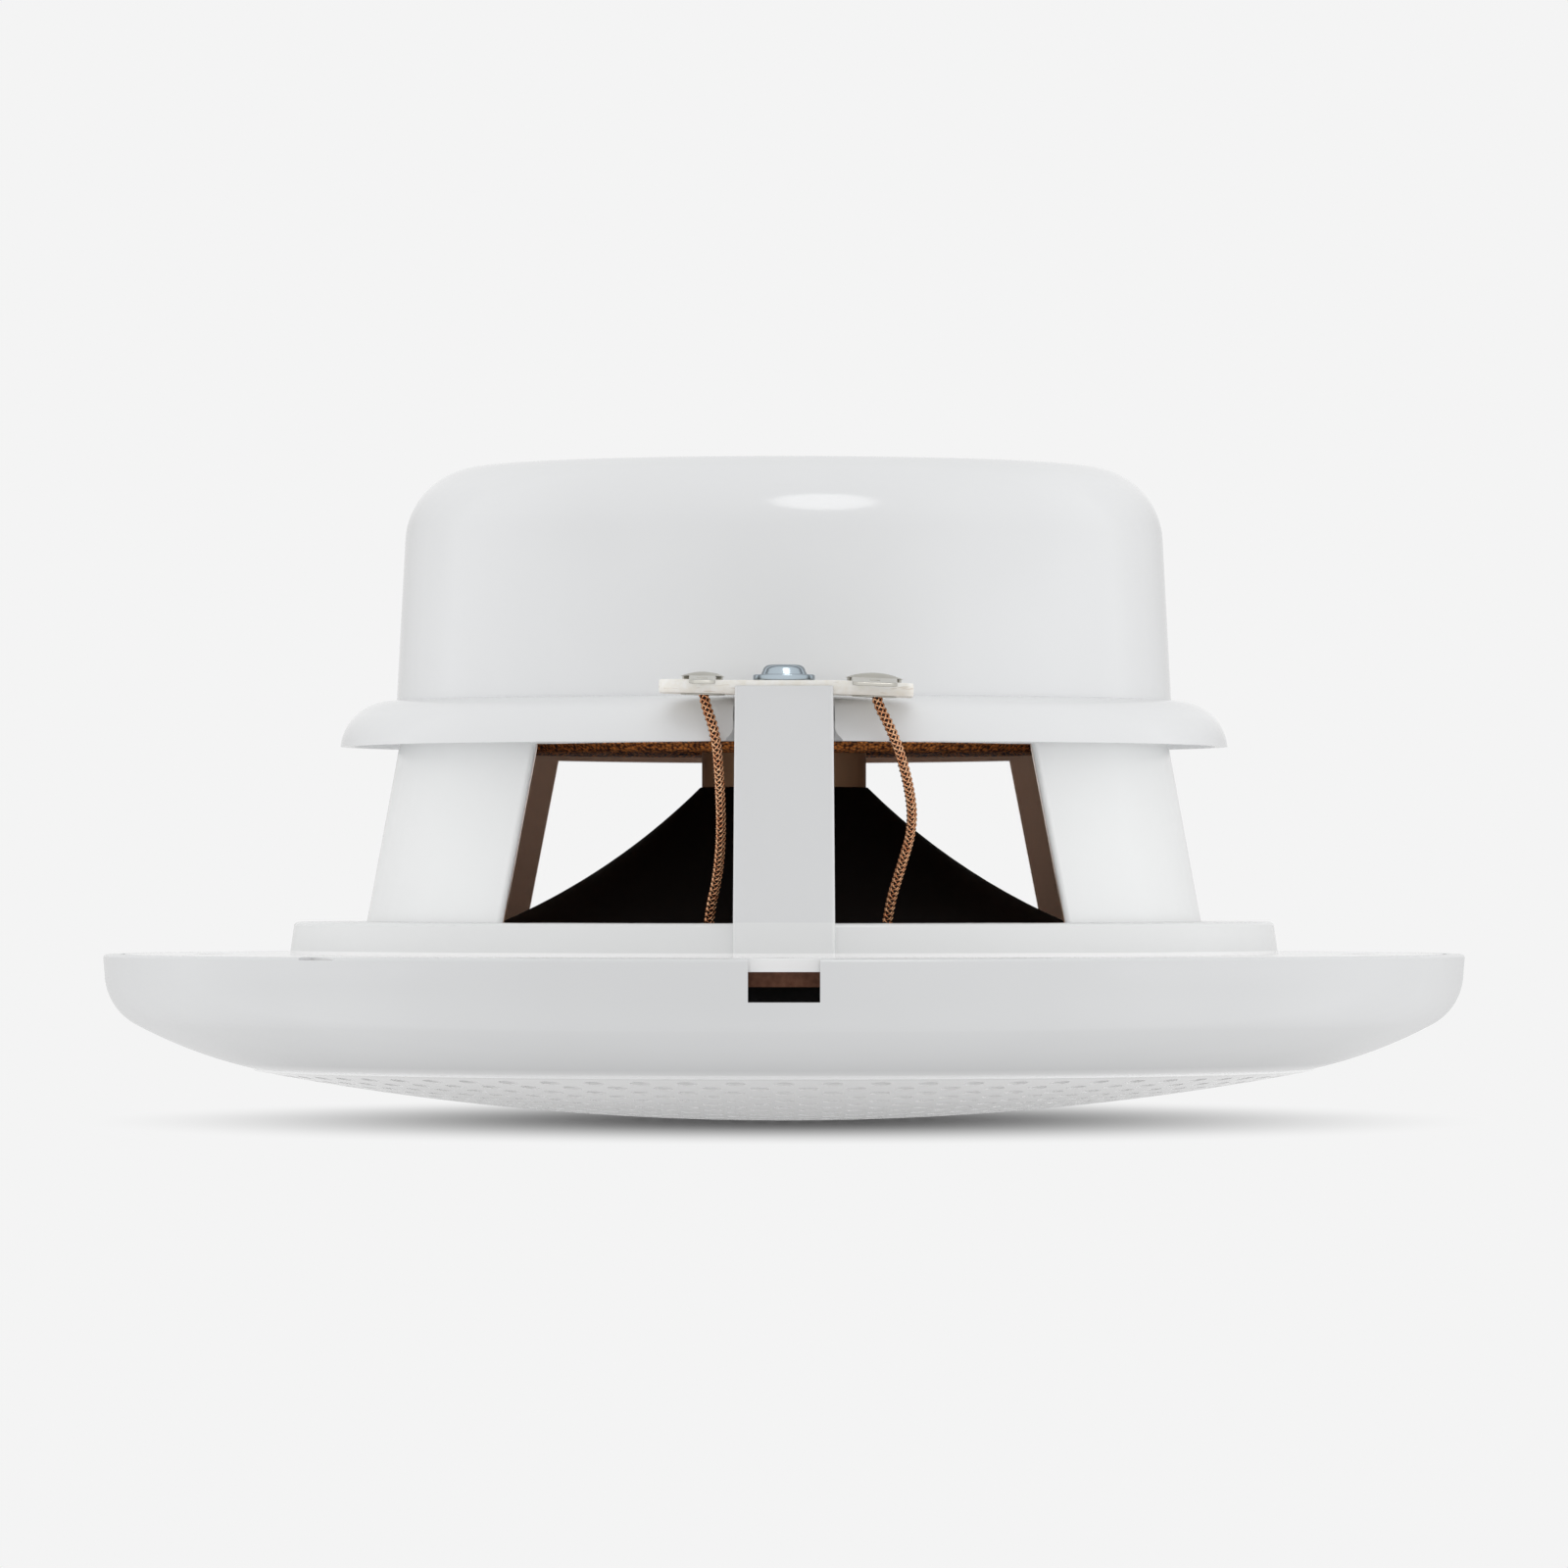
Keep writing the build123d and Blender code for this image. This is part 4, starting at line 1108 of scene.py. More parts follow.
@dataclass
class MagnetCover:
    """Crown and quarter-round brim over the motor."""

    crown: float = 43.3
    foot: float = 28.18
    top: float = 54.33
    draft: float = 3.0
    rounding: float = 8.5
    wall: float = 2.0
    brim: float = 5.55
    brim_middle: float = 44.04
    brim_bottom: float = 23.13
    brim_wall: float = 1.2
    seat: float = 26.13
    seat_radius: float = 42.49
    bore: float = 41.05
    bore_top: float = 28.83
    notch: float = 5.45
    flare: float = 1.0
    notch_back: float = 47.15

    def build(self, palette: Palette) -> None:
        """Makes the cover and dresses it."""
        piece = add_object("cover_moulding", self._shell())
        combine(piece, self._cutter(), Operation.CUT)
        dress(piece, palette["plastic"], Body.HOUSING, Slot.PLASTIC, "magnet_cover")

    def _shell(self) -> bmesh.types.BMesh:
        """The closed shell of crown and brim."""
        centre = self.foot - self.brim
        start = math.degrees(math.asin((self.brim_bottom - centre) / self.brim))
        inner = self.brim - self.brim_wall
        inner_start = math.degrees(math.asin((self.brim_bottom - centre) / inner))
        lean = math.tan(math.radians(self.draft))
        swing = 90 - self.draft
        arm = self.rounding * math.tan(math.radians(swing / 2))
        corner = self.crown - (self.top - self.foot) * lean
        line = Outline(0, self.top)
        line.line(corner - arm, self.top)
        line.arc(corner - arm, self.top - self.rounding, swing, 18)
        line.line(self.crown, self.foot)
        line.line(self.brim_middle, self.foot)
        line.arc(self.brim_middle, centre, 90 - start, 18)
        line.line(self.brim_middle + inner * math.cos(math.radians(inner_start)), self.brim_bottom)
        line.arc(self.brim_middle, centre, inner_start - 88, 10)
        line.line(self.seat_radius, centre + inner)
        line.line(self.seat_radius, self.seat)
        line.line(self.bore, self.seat)
        line.line(self.bore, self.bore_top)
        line.line(corner - self.wall - 0.4, self.top - self.rounding)
        line.line(corner - arm, self.top - self.wall)
        line.line(0, self.top - self.wall)
        line.close()
        return line.revolve(240)

    def _cutter(self) -> bpy.types.Object:
        """The notch for the tower, flared at its lower corners."""
        mesh = bmesh.new()
        front = -60.0
        corners = [
            (-self.notch - self.flare, self.brim_bottom - 1),
            (-self.notch - self.flare, self.brim_bottom),
            (-self.notch, self.brim_bottom + self.flare),
            (-self.notch, self.foot + 1),
        ]
        outline = corners + [(-x, z) for x, z in reversed(corners)]
        verts = [mesh.verts.new(Vector((x, front, z)) * MM) for x, z in outline]
        face = mesh.faces.new(verts)
        made = bmesh.ops.extrude_face_region(mesh, geom=[face])
        moved = [item for item in made["geom"] if isinstance(item, bmesh.types.BMVert)]
        reach = Vector((0, -front - self.notch_back, 0)) * MM
        bmesh.ops.translate(mesh, verts=moved, vec=reach)
        bends = [
            edge
            for edge in mesh.edges
            if abs(edge.verts[0].co.x) == abs(edge.verts[1].co.x)
            and abs(edge.verts[0].co.y - edge.verts[1].co.y) > MM
            and self.brim_bottom - 0.5 < edge.verts[0].co.z / MM < self.foot
        ]
        bmesh.ops.bevel(
            mesh,
            geom=bends,
            offset=0.5 * self.flare * MM,
            affect="EDGES",
            segments=4,
            profile=0.5,
            material=-1,
        )
        bmesh.ops.recalc_face_normals(mesh, faces=mesh.faces[:])
        return add_object("notch_cutter", mesh)


@dataclass
class Basket:
    """Flange, step ring, drafted wall, deck and terminal tower."""

    def build(self, palette: Palette) -> None:
        """Makes the basket and dresses it, and the gasket under its flange."""
        piece = smooth_copy("basket", "basket_moulding", 30.0)
        dress(piece, palette["basket"], Body.HOUSING, Slot.PLASTIC, "basket")
        ring = smooth_copy("gasket_ring", "gasket_board_ring")
        dress(ring, palette["gasket"], Body.HOUSING, Slot.GASKET, "gasket_ring")


@dataclass
class Motor:
    """Hidden plates, magnet and screws, which keep their solids."""

    def build(self, palette: Palette) -> None:
        """Dresses the solids of the motor."""
        finishes = {"top_plate": "steel", "yoke": "steel", "magnet": "ferrite"}
        for number in range(1, 5):
            finishes[f"motor_screw_{number}"] = "zinc"
        for node, finish in finishes.items():
            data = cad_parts[node].data
            data.materials.clear()
            data.materials.append(palette[finish])
            LOG.info("%s keeps its solid", node)


@dataclass
class MovingCone:
    """Cone, dust cap and voice coil, which move together."""

    def build(self, palette: Palette) -> None:
        """Makes the moving pieces and dresses them."""
        for node, name, finish, slot in (
            ("cone", "cone_shell", "cone", Slot.CONE),
            ("dust_cap", "dust_cap_dome", "cone", Slot.CONE),
            ("voice_coil_former", "former_tube", "former", Slot.FORMER),
            ("voice_coil", "coil_winding", "winding", Slot.WINDING),
        ):
            piece = smooth_copy(node, name, 40.0)
            dress(piece, palette[finish], Body.CONE, slot, node)


@dataclass
class Suspension:
    """Spider and surround, in wedges."""

    wedges: int = 12
    steps: int = 12
    spider_radius: float = 35.0
    spider_rim: float = 3.5
    spider_level: float = 23.1
    spider_wave: float = 0.8
    spider_waves: int = 6
    spider_thickness: float = 0.4
    former: float = 9.21
    collar: float = 2.6
    roll_middle: float = 43.9
    roll_level: float = -1.77
    roll: float = 3.2
    rubber: float = 0.5
    lip: float = 38.7
    lip_top: float = 0.25
    edge: float = 54.3
    edge_top: float = -1.45
    edge_thickness: float = 0.3

    def build(self, palette: Palette) -> None:
        """Makes the wedges and gives each its finish."""
        angle = 360 / self.wedges
        for number in range(self.wedges):
            middle = math.radians((number + 0.5) * angle)
            spoke = Vector((math.cos(middle), math.sin(middle), 0))
            wedge = add_object(
                f"spider_wedge_{number + 1:02d}",
                self._spider().sector(number * angle, angle, self.steps),
                50.0,
            )
            self._bend(wedge, palette["cloth"], Slot.CLOTH, "spider", spoke, 31.4, 12.0)
            wedge = add_object(
                f"surround_wedge_{number + 1:02d}",
                self._surround().sector(number * angle, angle, self.steps),
                50.0,
            )
            self._bend(wedge, palette["rubber"], Slot.RUBBER, "surround", spoke, 46.6, 41.0)
        LOG.info("spider and surround in %d wedges each", self.wedges)

    @staticmethod
    def _bend(
        wedge: bpy.types.Object,
        material: bpy.types.Material,
        slot: Slot,
        node: str,
        spoke: Vector,
        outer: float,
        inner: float,
    ) -> None:
        """Gives a wedge its finish, hides the solid that it stands for and bakes its transform."""
        wedge.data.materials.append(material)
        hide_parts(node)
        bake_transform(wedge)

    def _spider(self) -> Outline:
        """Closed profile of the corrugated cloth."""
        outer = self.spider_radius - self.spider_rim
        inner = self.former + self.collar
        width = (outer - inner) / self.spider_waves
        bend = (width**2 / 4 + self.spider_wave**2) / (2 * self.spider_wave)
        turn = math.degrees(2 * math.asin(width / 2 / bend))
        low = self.spider_level
        high = low + self.spider_thickness
        line = Outline(self.spider_radius, low)
        line.line(outer, low)
        for wave in range(self.spider_waves):
            side = -1 if wave % 2 else 1
            middle = outer - (wave + 0.5) * width
            line.arc(middle, low + side * (bend - self.spider_wave), side * turn, 8)
        line.line(self.former, low)
        line.line(self.former, high)
        line.line(inner, high)
        for wave in reversed(range(self.spider_waves)):
            side = -1 if wave % 2 else 1
            middle = outer - (wave + 0.5) * width
            line.arc(middle, high + side * (bend - self.spider_wave), -side * turn, 8)
        line.line(self.spider_radius, high)
        return line.close()

    def _surround(self) -> Outline:
        """Closed profile of the rubber roll."""
        small = self.roll - self.rubber / 2
        large = self.roll + self.rubber / 2
        line = Outline(self.lip, self.lip_top)
        line.line(self.roll_middle - small, self.lip_top)
        line.line(self.roll_middle - small, self.roll_level)
        line.arc(self.roll_middle, self.roll_level, -180, 16)
        line.line(self.roll_middle + small, self.edge_top)
        line.line(self.edge, self.edge_top)
        line.line(self.edge, self.edge_top - self.edge_thickness)
        line.line(self.roll_middle + large, self.edge_top - self.edge_thickness)
        line.line(self.roll_middle + large, self.roll_level)
        line.arc(self.roll_middle, self.roll_level, 180, 16)
        line.line(self.roll_middle - large, self.lip_top - self.rubber)
        line.line(self.lip, self.lip_top - self.rubber)
        return line.close()


def prism(outline: list[tuple[float, float]], low: float, high: float) -> bmesh.types.BMesh:
    """An upright prism.

    Args:
        outline: corners in the XY plane, in order.
        low: height of its underside.
        high: height of its top.

    Returns:
        The closed prism.
    """
    mesh = bmesh.new()
    face = mesh.faces.new([mesh.verts.new(Vector((x, y, low)) * MM) for x, y in outline])
    made = bmesh.ops.extrude_face_region(mesh, geom=[face])
    moved = [item for item in made["geom"] if isinstance(item, bmesh.types.BMVert)]
    bmesh.ops.translate(mesh, verts=moved, vec=(0, 0, (high - low) * MM))
    bmesh.ops.recalc_face_normals(mesh, faces=mesh.faces[:])
    return mesh


def bevel(mesh: bmesh.types.BMesh, edges: list[bmesh.types.BMEdge], offset: float, segments: int) -> None:
    """Rounds edges by an offset in millimetres."""
    bmesh.ops.bevel(
        mesh,
        geom=edges,
        offset=offset * MM,
        affect="EDGES",
        segments=segments,
        profile=0.5,
        material=-1,
    )


def upright(edge: bmesh.types.BMEdge) -> bool:
    """Whether an edge runs along Z."""
    run = edge.verts[0].co - edge.verts[1].co
    return abs(run.z) > 0.99 * run.length


def pins(places: list[tuple[float, float]], radius: float, low: float, high: float) -> bpy.types.Object:
    """Upright round cutters.

    Args:
        places: middles in the XY plane.
        radius: radius of each.
        low: height of their feet.
        high: height of their heads.

    Returns:
        One object that holds them all.
    """
    mesh = bmesh.new()
    for x, y in places:
        bmesh.ops.create_cone(
            mesh,
            cap_ends=True,
            segments=32,
            radius1=radius * MM,
            radius2=radius * MM,
            depth=(high - low) * MM,
            matrix=Matrix.Translation(Vector((x, y, (high + low) / 2)) * MM),
        )
    return add_object("pins", mesh)


def sag(x: float) -> float:
    """How far the board leaves its level at a place across it: up at the left, down at the right."""
    if x > 5.25:
        return -0.040 * (x - 5.25)
    return 0.019 * max(0.0, -5.25 - x)


def warp(piece: bpy.types.Object) -> bpy.types.Object:
    """Bends a piece with the board and returns it."""
    for vertex in piece.data.vertices:
        vertex.co.z += sag(vertex.co.x / MM) * MM
    return piece


@dataclass
class Terminal:
    """Tab, eyelet and solder cap at one end of the board."""

    pole: str
    middle: float
    width: float
    cap: float
    cap_height: float
    row: float = -51.2
    board_front: float = -54.9
    board_under: float = 28.1
    board_top: float = 29.55
    thickness: float = 0.4
    reach: float = 9.2
    droop: float = 0.6
    back: float = 3.2
    chamfer: float = 0.5
    tip_hole: float = 0.6
    tip_hole_inset: float = 2.6
    bore: float = 0.72
    barrel: float = 0.97
    flange: float = 2.4
    crimp: float = 1.4
    rolled: float = 0.15
    skirt_angle: float = 24.0
    skirt_inset: float = 0.2

    def build(self, palette: Palette) -> None:
        """Makes the three pieces, bends them with the board and dresses them."""
        for part, piece, finish, slot in (
            ("tab", self._tab(), "tinned", Slot.TINNED),
            ("eyelet", self._eyelet(), "tinned", Slot.TINNED),
            ("solder", self._solder(), "solder", Slot.SOLDER),
        ):
            dress(warp(piece), palette[finish], Body.HOUSING, slot, f"{self.pole}_{part}")
            # The solder cap's second material is painted shade in the gap beside the tab.
            if part == "solder":
                piece.data.materials.append(palette["flux"])

    def _tab(self) -> bpy.types.Object:
        """A stamped blade with soft edges and two holes, which droops in front of the board."""
        half = self.width / 2
        tip = self.row - self.reach
        heel = self.row + self.back
        outline = [
            (self.middle - half, heel),
            (self.middle + half, heel),
            (self.middle + half, tip + self.chamfer),
            (self.middle + half - self.chamfer, tip),
            (self.middle - half + self.chamfer, tip),
            (self.middle - half, tip + self.chamfer),
        ]
        mesh = prism(outline, self.board_top, self.board_top + self.thickness)
        bevel(mesh, [edge for edge in mesh.edges if upright(edge)], 0.15, 3)
        bevel(mesh, [edge for edge in mesh.edges if not upright(edge)], 0.08, 2)
        piece = add_object(f"{self.pole}_tab_blade", mesh, 50.0)
        low, high = self.board_top - 1, self.board_top + 1
        holes = pins([(self.middle, self.row)], self.barrel + 0.1, low, high)
        combine(piece, holes, Operation.CUT, 50.0)
        holes = pins([(self.middle, tip + self.tip_hole_inset)], self.tip_hole, low, high)
        combine(piece, holes, Operation.CUT, 50.0)
        mesh = bmesh.new()
        mesh.from_mesh(piece.data)
        bmesh.ops.bisect_plane(
            mesh,
            geom=mesh.verts[:] + mesh.edges[:] + mesh.faces[:],
            plane_co=(0, self.board_front * MM, 0),
            plane_no=(0, 1, 0),
        )
        for vert in mesh.verts:
            share = (self.board_front - vert.co.y / MM) / (self.board_front - tip)
            vert.co.z -= max(0.0, share) * self.droop * MM
        mesh.to_mesh(piece.data)
        mesh.free()
        return piece

    def _eyelet(self) -> bpy.types.Object:
        """A rolled eyelet through board and tab."""
        foot = self.board_under
        head = self.board_top + self.thickness
        half = self.rolled / 2
        line = Outline(self.bore, foot - self.rolled)
        line.line(self.flange - half, foot - self.rolled)
        line.arc(self.flange - half, foot - half, -180, 6)
        line.line(self.barrel, foot)
        line.line(self.barrel, head)
        line.line(self.crimp - half, head)
        line.arc(self.crimp - half, head + half, -180, 6)
        line.line(self.bore, head + self.rolled)
        line.close()
        mesh = line.revolve(40)
        bmesh.ops.translate(mesh, verts=mesh.verts[:], vec=Vector((self.middle, self.row, 0)) * MM)
        return add_object(f"{self.pole}_eyelet_ring", mesh)

    def _solder(self) -> bpy.types.Object:
        """A flat cap of solder over the eyelet, a little uneven, with a dark skirt of painted shade under it beside
        the tab.
        """
        foot = self.board_top + self.thickness
        sphere = (self.cap**2 + self.cap_height**2) / (2 * self.cap_height)
        turn = math.degrees(math.asin(self.cap / sphere))
        line = Outline(0, foot + self.cap_height)
        line.arc(0, foot + self.cap_height - sphere, turn, 14)
        line.line(self.crimp + 0.03, foot)
        line.line(self.crimp + 0.03, foot + self.rolled + 0.03)
        line.line(0, foot + self.rolled + 0.03)
        mesh = line.revolve(48)
        for vert in mesh.verts:
            lift = vert.co.z / MM - foot
            if lift > 0.24:
                swell = noise.noise(vert.co / MM * 0.7 + Vector((self.middle, 0, 0)))
                vert.co.z += 0.1 * swell * min(1.0, (self.cap_height - lift) / 0.3) * MM
        solid = len(mesh.faces)
        # Painted shade: dark wedges under the cap beside the tab fill the gap with shade.
        skirt = bpy.data.meshes.new("gap_shade_skirt")
        for side in (0.0, 180.0):
            inner = (self.width / 2 + 0.05) / math.cos(math.radians(self.skirt_angle))
            ring = Outline(inner, self.board_top + 0.02)
            ring.line(self.cap - self.skirt_inset, self.board_top + 0.02)
            ring.line(self.cap - self.skirt_inset, foot - 0.02)
            ring.line(inner, foot - 0.02)
            wedge = ring.close().sector(side - self.skirt_angle, 2 * self.skirt_angle, 10)
            wedge.to_mesh(skirt)
            wedge.free()
            mesh.from_mesh(skirt)
        bpy.data.meshes.remove(skirt)
        mesh.faces.ensure_lookup_table()
        for face in mesh.faces[solid:]:
            face.material_index = 1
        bmesh.ops.translate(mesh, verts=mesh.verts[:], vec=Vector((self.middle, self.row, 0)) * MM)
        return add_object(f"{self.pole}_solder_cap", mesh)


@dataclass
class TerminalBoard:
    """Fibre board with its washer-head screw."""

    left: float = -13.35
    right: float = 13.8
    front: float = -54.9
    depth: float = 9.5
    under: float = 28.1
    thickness: float = 1.45
    left_rounding: float = 3.0
    right_rounding: float = 0.8
    row: float = -51.2
    negative: float = -8.7
    positive: float = 9.65
    eyelet_hole: float = 1.07
    screw_hole: float = 1.33
    ragged: float = 0.07
    washer: float = 3.33
    washer_height: float = 0.65
    head: float = 2.47
    head_height: float = 1.06
    shank: float = 1.25
    shank_length: float = 6.5
    recess: float = 2.9
    recess_width: float = 0.75
    recess_depth: float = 0.75

    def build(self, palette: Palette) -> None:
        """Makes board and screw and dresses them, and the two terminals."""
        dress(warp(self._board()), palette["board"], Body.HOUSING, Slot.BOARD, "terminal_board")
        dress(self._screw(), palette["zinc"], Body.HOUSING, Slot.ZINC, "terminal_screw")
        Terminal("negative", self.negative, 2.8, 2.37, 0.5).build(palette)
        Terminal("positive", self.positive, 4.8, 3.1, 0.62).build(palette)

    def _board(self) -> bpy.types.Object:
        """A punched board whose fibres stand a little ragged along its edges."""
        rear = self.front + self.depth
        outline = [
            (self.left, self.front),
            (self.right, self.front),
            (self.right, rear),
            (self.left, rear),
        ]
        top = self.under + self.thickness
        mesh = prism(outline, self.under, top)
        for side, offset in ((self.left, self.left_rounding), (self.right, self.right_rounding)):
            corners = [e for e in mesh.edges if upright(e) and abs(e.verts[0].co.x / MM - side) < 0.01]
            bevel(mesh, corners, offset, 6)
        bevel(mesh, [edge for edge in mesh.edges if not upright(edge)], 0.16, 2)
        for axis, start, end in ((Vector((1, 0, 0)), self.left, self.right), (Vector((0, 1, 0)), self.front, rear)):
            place = start + 0.45
            while place < end - 0.2:
                bmesh.ops.bisect_plane(
                    mesh,
                    geom=mesh.verts[:] + mesh.edges[:] + mesh.faces[:],
                    plane_co=axis * place * MM,
                    plane_no=axis,
                )
                place += 0.45
        bmesh.ops.bisect_plane(
            mesh,
            geom=mesh.verts[:] + mesh.edges[:] + mesh.faces[:],
            plane_co=(0, 0, (self.under + top) / 2 * MM),
            plane_no=(0, 0, 1),
        )
        for vert in mesh.verts:
            pull = noise.noise_vector(vert.co / MM * 1.3) * self.ragged
            inner = min(
                vert.co.x / MM - self.left,
                self.right - vert.co.x / MM,
                vert.co.y / MM - self.front,
                rear - vert.co.y / MM,
            )
            vert.co += Vector((pull.x, pull.y, 0.3 * pull.z)) * MM if inner < 0.6 else Vector()
        piece = add_object("board_plate", mesh, 40.0)
        low, high = self.under - 1, top + 1
        combine(piece, pins([(0, self.row)], self.screw_hole, low, high), Operation.CUT, 40.0)
        places = [(self.negative, self.row), (self.positive, self.row)]
        combine(piece, pins(places, self.eyelet_hole, low, high), Operation.CUT, 40.0)
        return piece

    def _screw(self) -> bpy.types.Object:
        """A washer-head screw with a tapered cross recess."""
        seat = self.under + self.thickness
        rim = seat + self.washer_height
        top = rim + self.head_height
        line = Outline(0, top)
        line.line(self.head - 0.95, top)
        line.arc(self.head - 0.95, top - 0.8, 80, 8)
        line.line(self.head, rim + 0.08)
        line.arc(self.head + 0.08, rim + 0.08, -85, 4)
        line.line(self.washer - 0.16, rim)
        line.arc(self.washer - 0.16, rim - 0.16, 90, 4)
        line.line(self.washer, seat + 0.1)
        line.line(self.washer - 0.1, seat)
        line.line(self.shank, seat)
        line.line(self.shank, seat - self.shank_length + 0.8)
        line.line(self.shank - 0.6, seat - self.shank_length)
        line.line(0, seat - self.shank_length)
        mesh = line.revolve(56)
        bmesh.ops.translate(mesh, verts=mesh.verts[:], vec=Vector((0, self.row, 0)) * MM)
        piece = add_object("board_screw", mesh)
        for turn in (20.0, 110.0):
            cutter = bmesh.new()
            bmesh.ops.create_cube(cutter, size=1)
            for vert in cutter.verts:
                taper = 1.0 if vert.co.z > 0 else 0.55
                vert.co.x *= self.recess * taper
                vert.co.y *= self.recess_width * taper
                vert.co.z *= 2 * self.recess_depth
            place = Matrix.Translation(Vector((0, self.row, top)) * MM)
            bmesh.ops.transform(
                cutter,
                verts=cutter.verts[:],
                matrix=place @ Matrix.Rotation(math.radians(turn), 4, "Z") @ Matrix.Scale(MM, 4),
            )
            combine(piece, add_object("recess_cutter", cutter), Operation.CUT)
        return piece


@dataclass
class Lead:
    """A braided tinsel lead from an eyelet to the cone."""

    name: str
    route: tuple[Point, ...]
    length: float
    radius: float = 0.62
    braid_radius: float = 0.42
    strand: float = 0.11
    lift: float = 0.08
    strands: int = 4
    pitch: float = 2.6
    samples: float = 0.12

    def build(self, palette: Palette) -> None:
        path = self._path()
        braid = self._braid(path, palette)
        core = self._core(palette)
        joined = self._join(braid, core)
        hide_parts(self.name)
        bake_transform(joined)
        LOG.info("%s: %d faces", joined.name, len(joined.data.polygons))

    def _spline(self, name: str, bevel: float) -> bpy.types.Object:
        """A curve object on the route, a NURBS spline with the route's points as controls."""
        data = bpy.data.curves.new(name, "CURVE")
        data.dimensions = "3D"
        data.resolution_u = 48
        data.bevel_depth = bevel * MM
        data.bevel_resolution = 2
        spline = data.splines.new("NURBS")
        spline.points.add(len(self.route) - 1)
        for point, place in zip(spline.points, self.route):
            point.co = (*(value * MM for value in place), 1)
        spline.order_u = 3
        spline.use_endpoint_u = True
        curve = bpy.data.objects.new(name, data)
        bpy.context.scene.collection.objects.link(curve)
        bpy.context.view_layer.update()
        return curve

    def _path(self) -> list[Vector]:
        """Points along the route's spline, read from the curve itself."""
        curve = self._spline("route", 0.0)
        graph = bpy.context.evaluated_depsgraph_get()
        mesh = bpy.data.meshes.new_from_object(curve.evaluated_get(graph))
        points = [vertex.co.copy() for vertex in mesh.vertices]
        bpy.data.meshes.remove(mesh)
        bpy.data.objects.remove(curve)
        return points

    def _resampled(self, path: list[Vector]) -> list[tuple[Vector, Vector, Vector, float]]:
        """Even steps along the path, each with two side vectors and the distance so far."""
        steps = []
        side = Vector((1, 0, 0))
        total = 0.0
        due = 0.0
        for here, after in zip(path, path[1:]):
            run = after - here
            ahead = run.normalized()
            side = (side - ahead * side.dot(ahead)).normalized()
            other = ahead.cross(side)
            while due <= total + run.length:
                steps.append((here + ahead * (due - total), side.copy(), other, due))
                due += self.samples * MM
            total += run.length
        return steps

    def _braid(self, path: list[Vector], palette: Palette) -> bpy.types.Object:
        """Two sets of strands that wind opposite ways and pass over and under each other."""
        steps = self._resampled(path)
        data = bpy.data.curves.new(f"{self.name}_strands", "CURVE")
        data.dimensions = "3D"
        data.bevel_depth = self.strand * MM
        data.bevel_resolution = 1
        wind = math.tau / (self.pitch * MM)
        for way in (1, -1):
            for strand in range(self.strands):
                spline = data.splines.new("POLY")
                spline.points.add(len(steps) - 1)
                for point, (place, side, other, run) in zip(spline.points, steps):
                    turn = way * wind * run + strand * math.tau / self.strands
                    reach = self.braid_radius + way * self.lift * math.cos(self.strands * wind * run)
                    spot = place + (side * math.cos(turn) + other * math.sin(turn)) * reach * MM
                    point.co = (*spot, 1)
        return self._meshed(data, palette["tinsel"])

    def _core(self, palette: Palette) -> bpy.types.Object:
        """A plain core that fills the braid; its dark finish also paints the shade in the gaps between the strands.
        """
        curve = self._spline(f"{self.name}_core", self.braid_radius - 0.06)
        curve.data.use_fill_caps = True
        data = curve.data
        bpy.data.objects.remove(curve)
        return self._meshed(data, palette["core"])

    @staticmethod
    def _meshed(data: bpy.types.Curve, material: bpy.types.Material) -> bpy.types.Object:
        """A mesh object made from a curve, smooth and with its finish."""
        curve = bpy.data.objects.new(data.name, data)
        bpy.context.scene.collection.objects.link(curve)
        graph = bpy.context.evaluated_depsgraph_get()
        mesh = bpy.data.meshes.new_from_object(curve.evaluated_get(graph))
        name = data.name
        bpy.data.objects.remove(curve)
        piece = bpy.data.objects.new(name, mesh)
        bpy.context.scene.collection.objects.link(piece)
        mesh.materials.clear()
        mesh.materials.append(material)
        for polygon in mesh.polygons:
            polygon.use_smooth = True
        return piece

    def _join(self, braid: bpy.types.Object, core: bpy.types.Object) -> bpy.types.Object:
        """Joins braid and core into one piece."""
        mesh = bmesh.new()
        mesh.from_mesh(braid.data)
        first = len(mesh.faces)
        mesh.from_mesh(core.data)
        mesh.faces.ensure_lookup_table()
        for face in mesh.faces[first:]:
            face.material_index = 1
        data = bpy.data.meshes.new(f"{self.name}_braid")
        mesh.to_mesh(data)
        mesh.free()
        data.materials.append(braid.data.materials[0])
        data.materials.append(core.data.materials[0])
        bpy.data.objects.remove(braid)
        bpy.data.objects.remove(core)
        piece = bpy.data.objects.new(f"{self.name}_braid", data)
        bpy.context.scene.collection.objects.link(piece)
        return piece


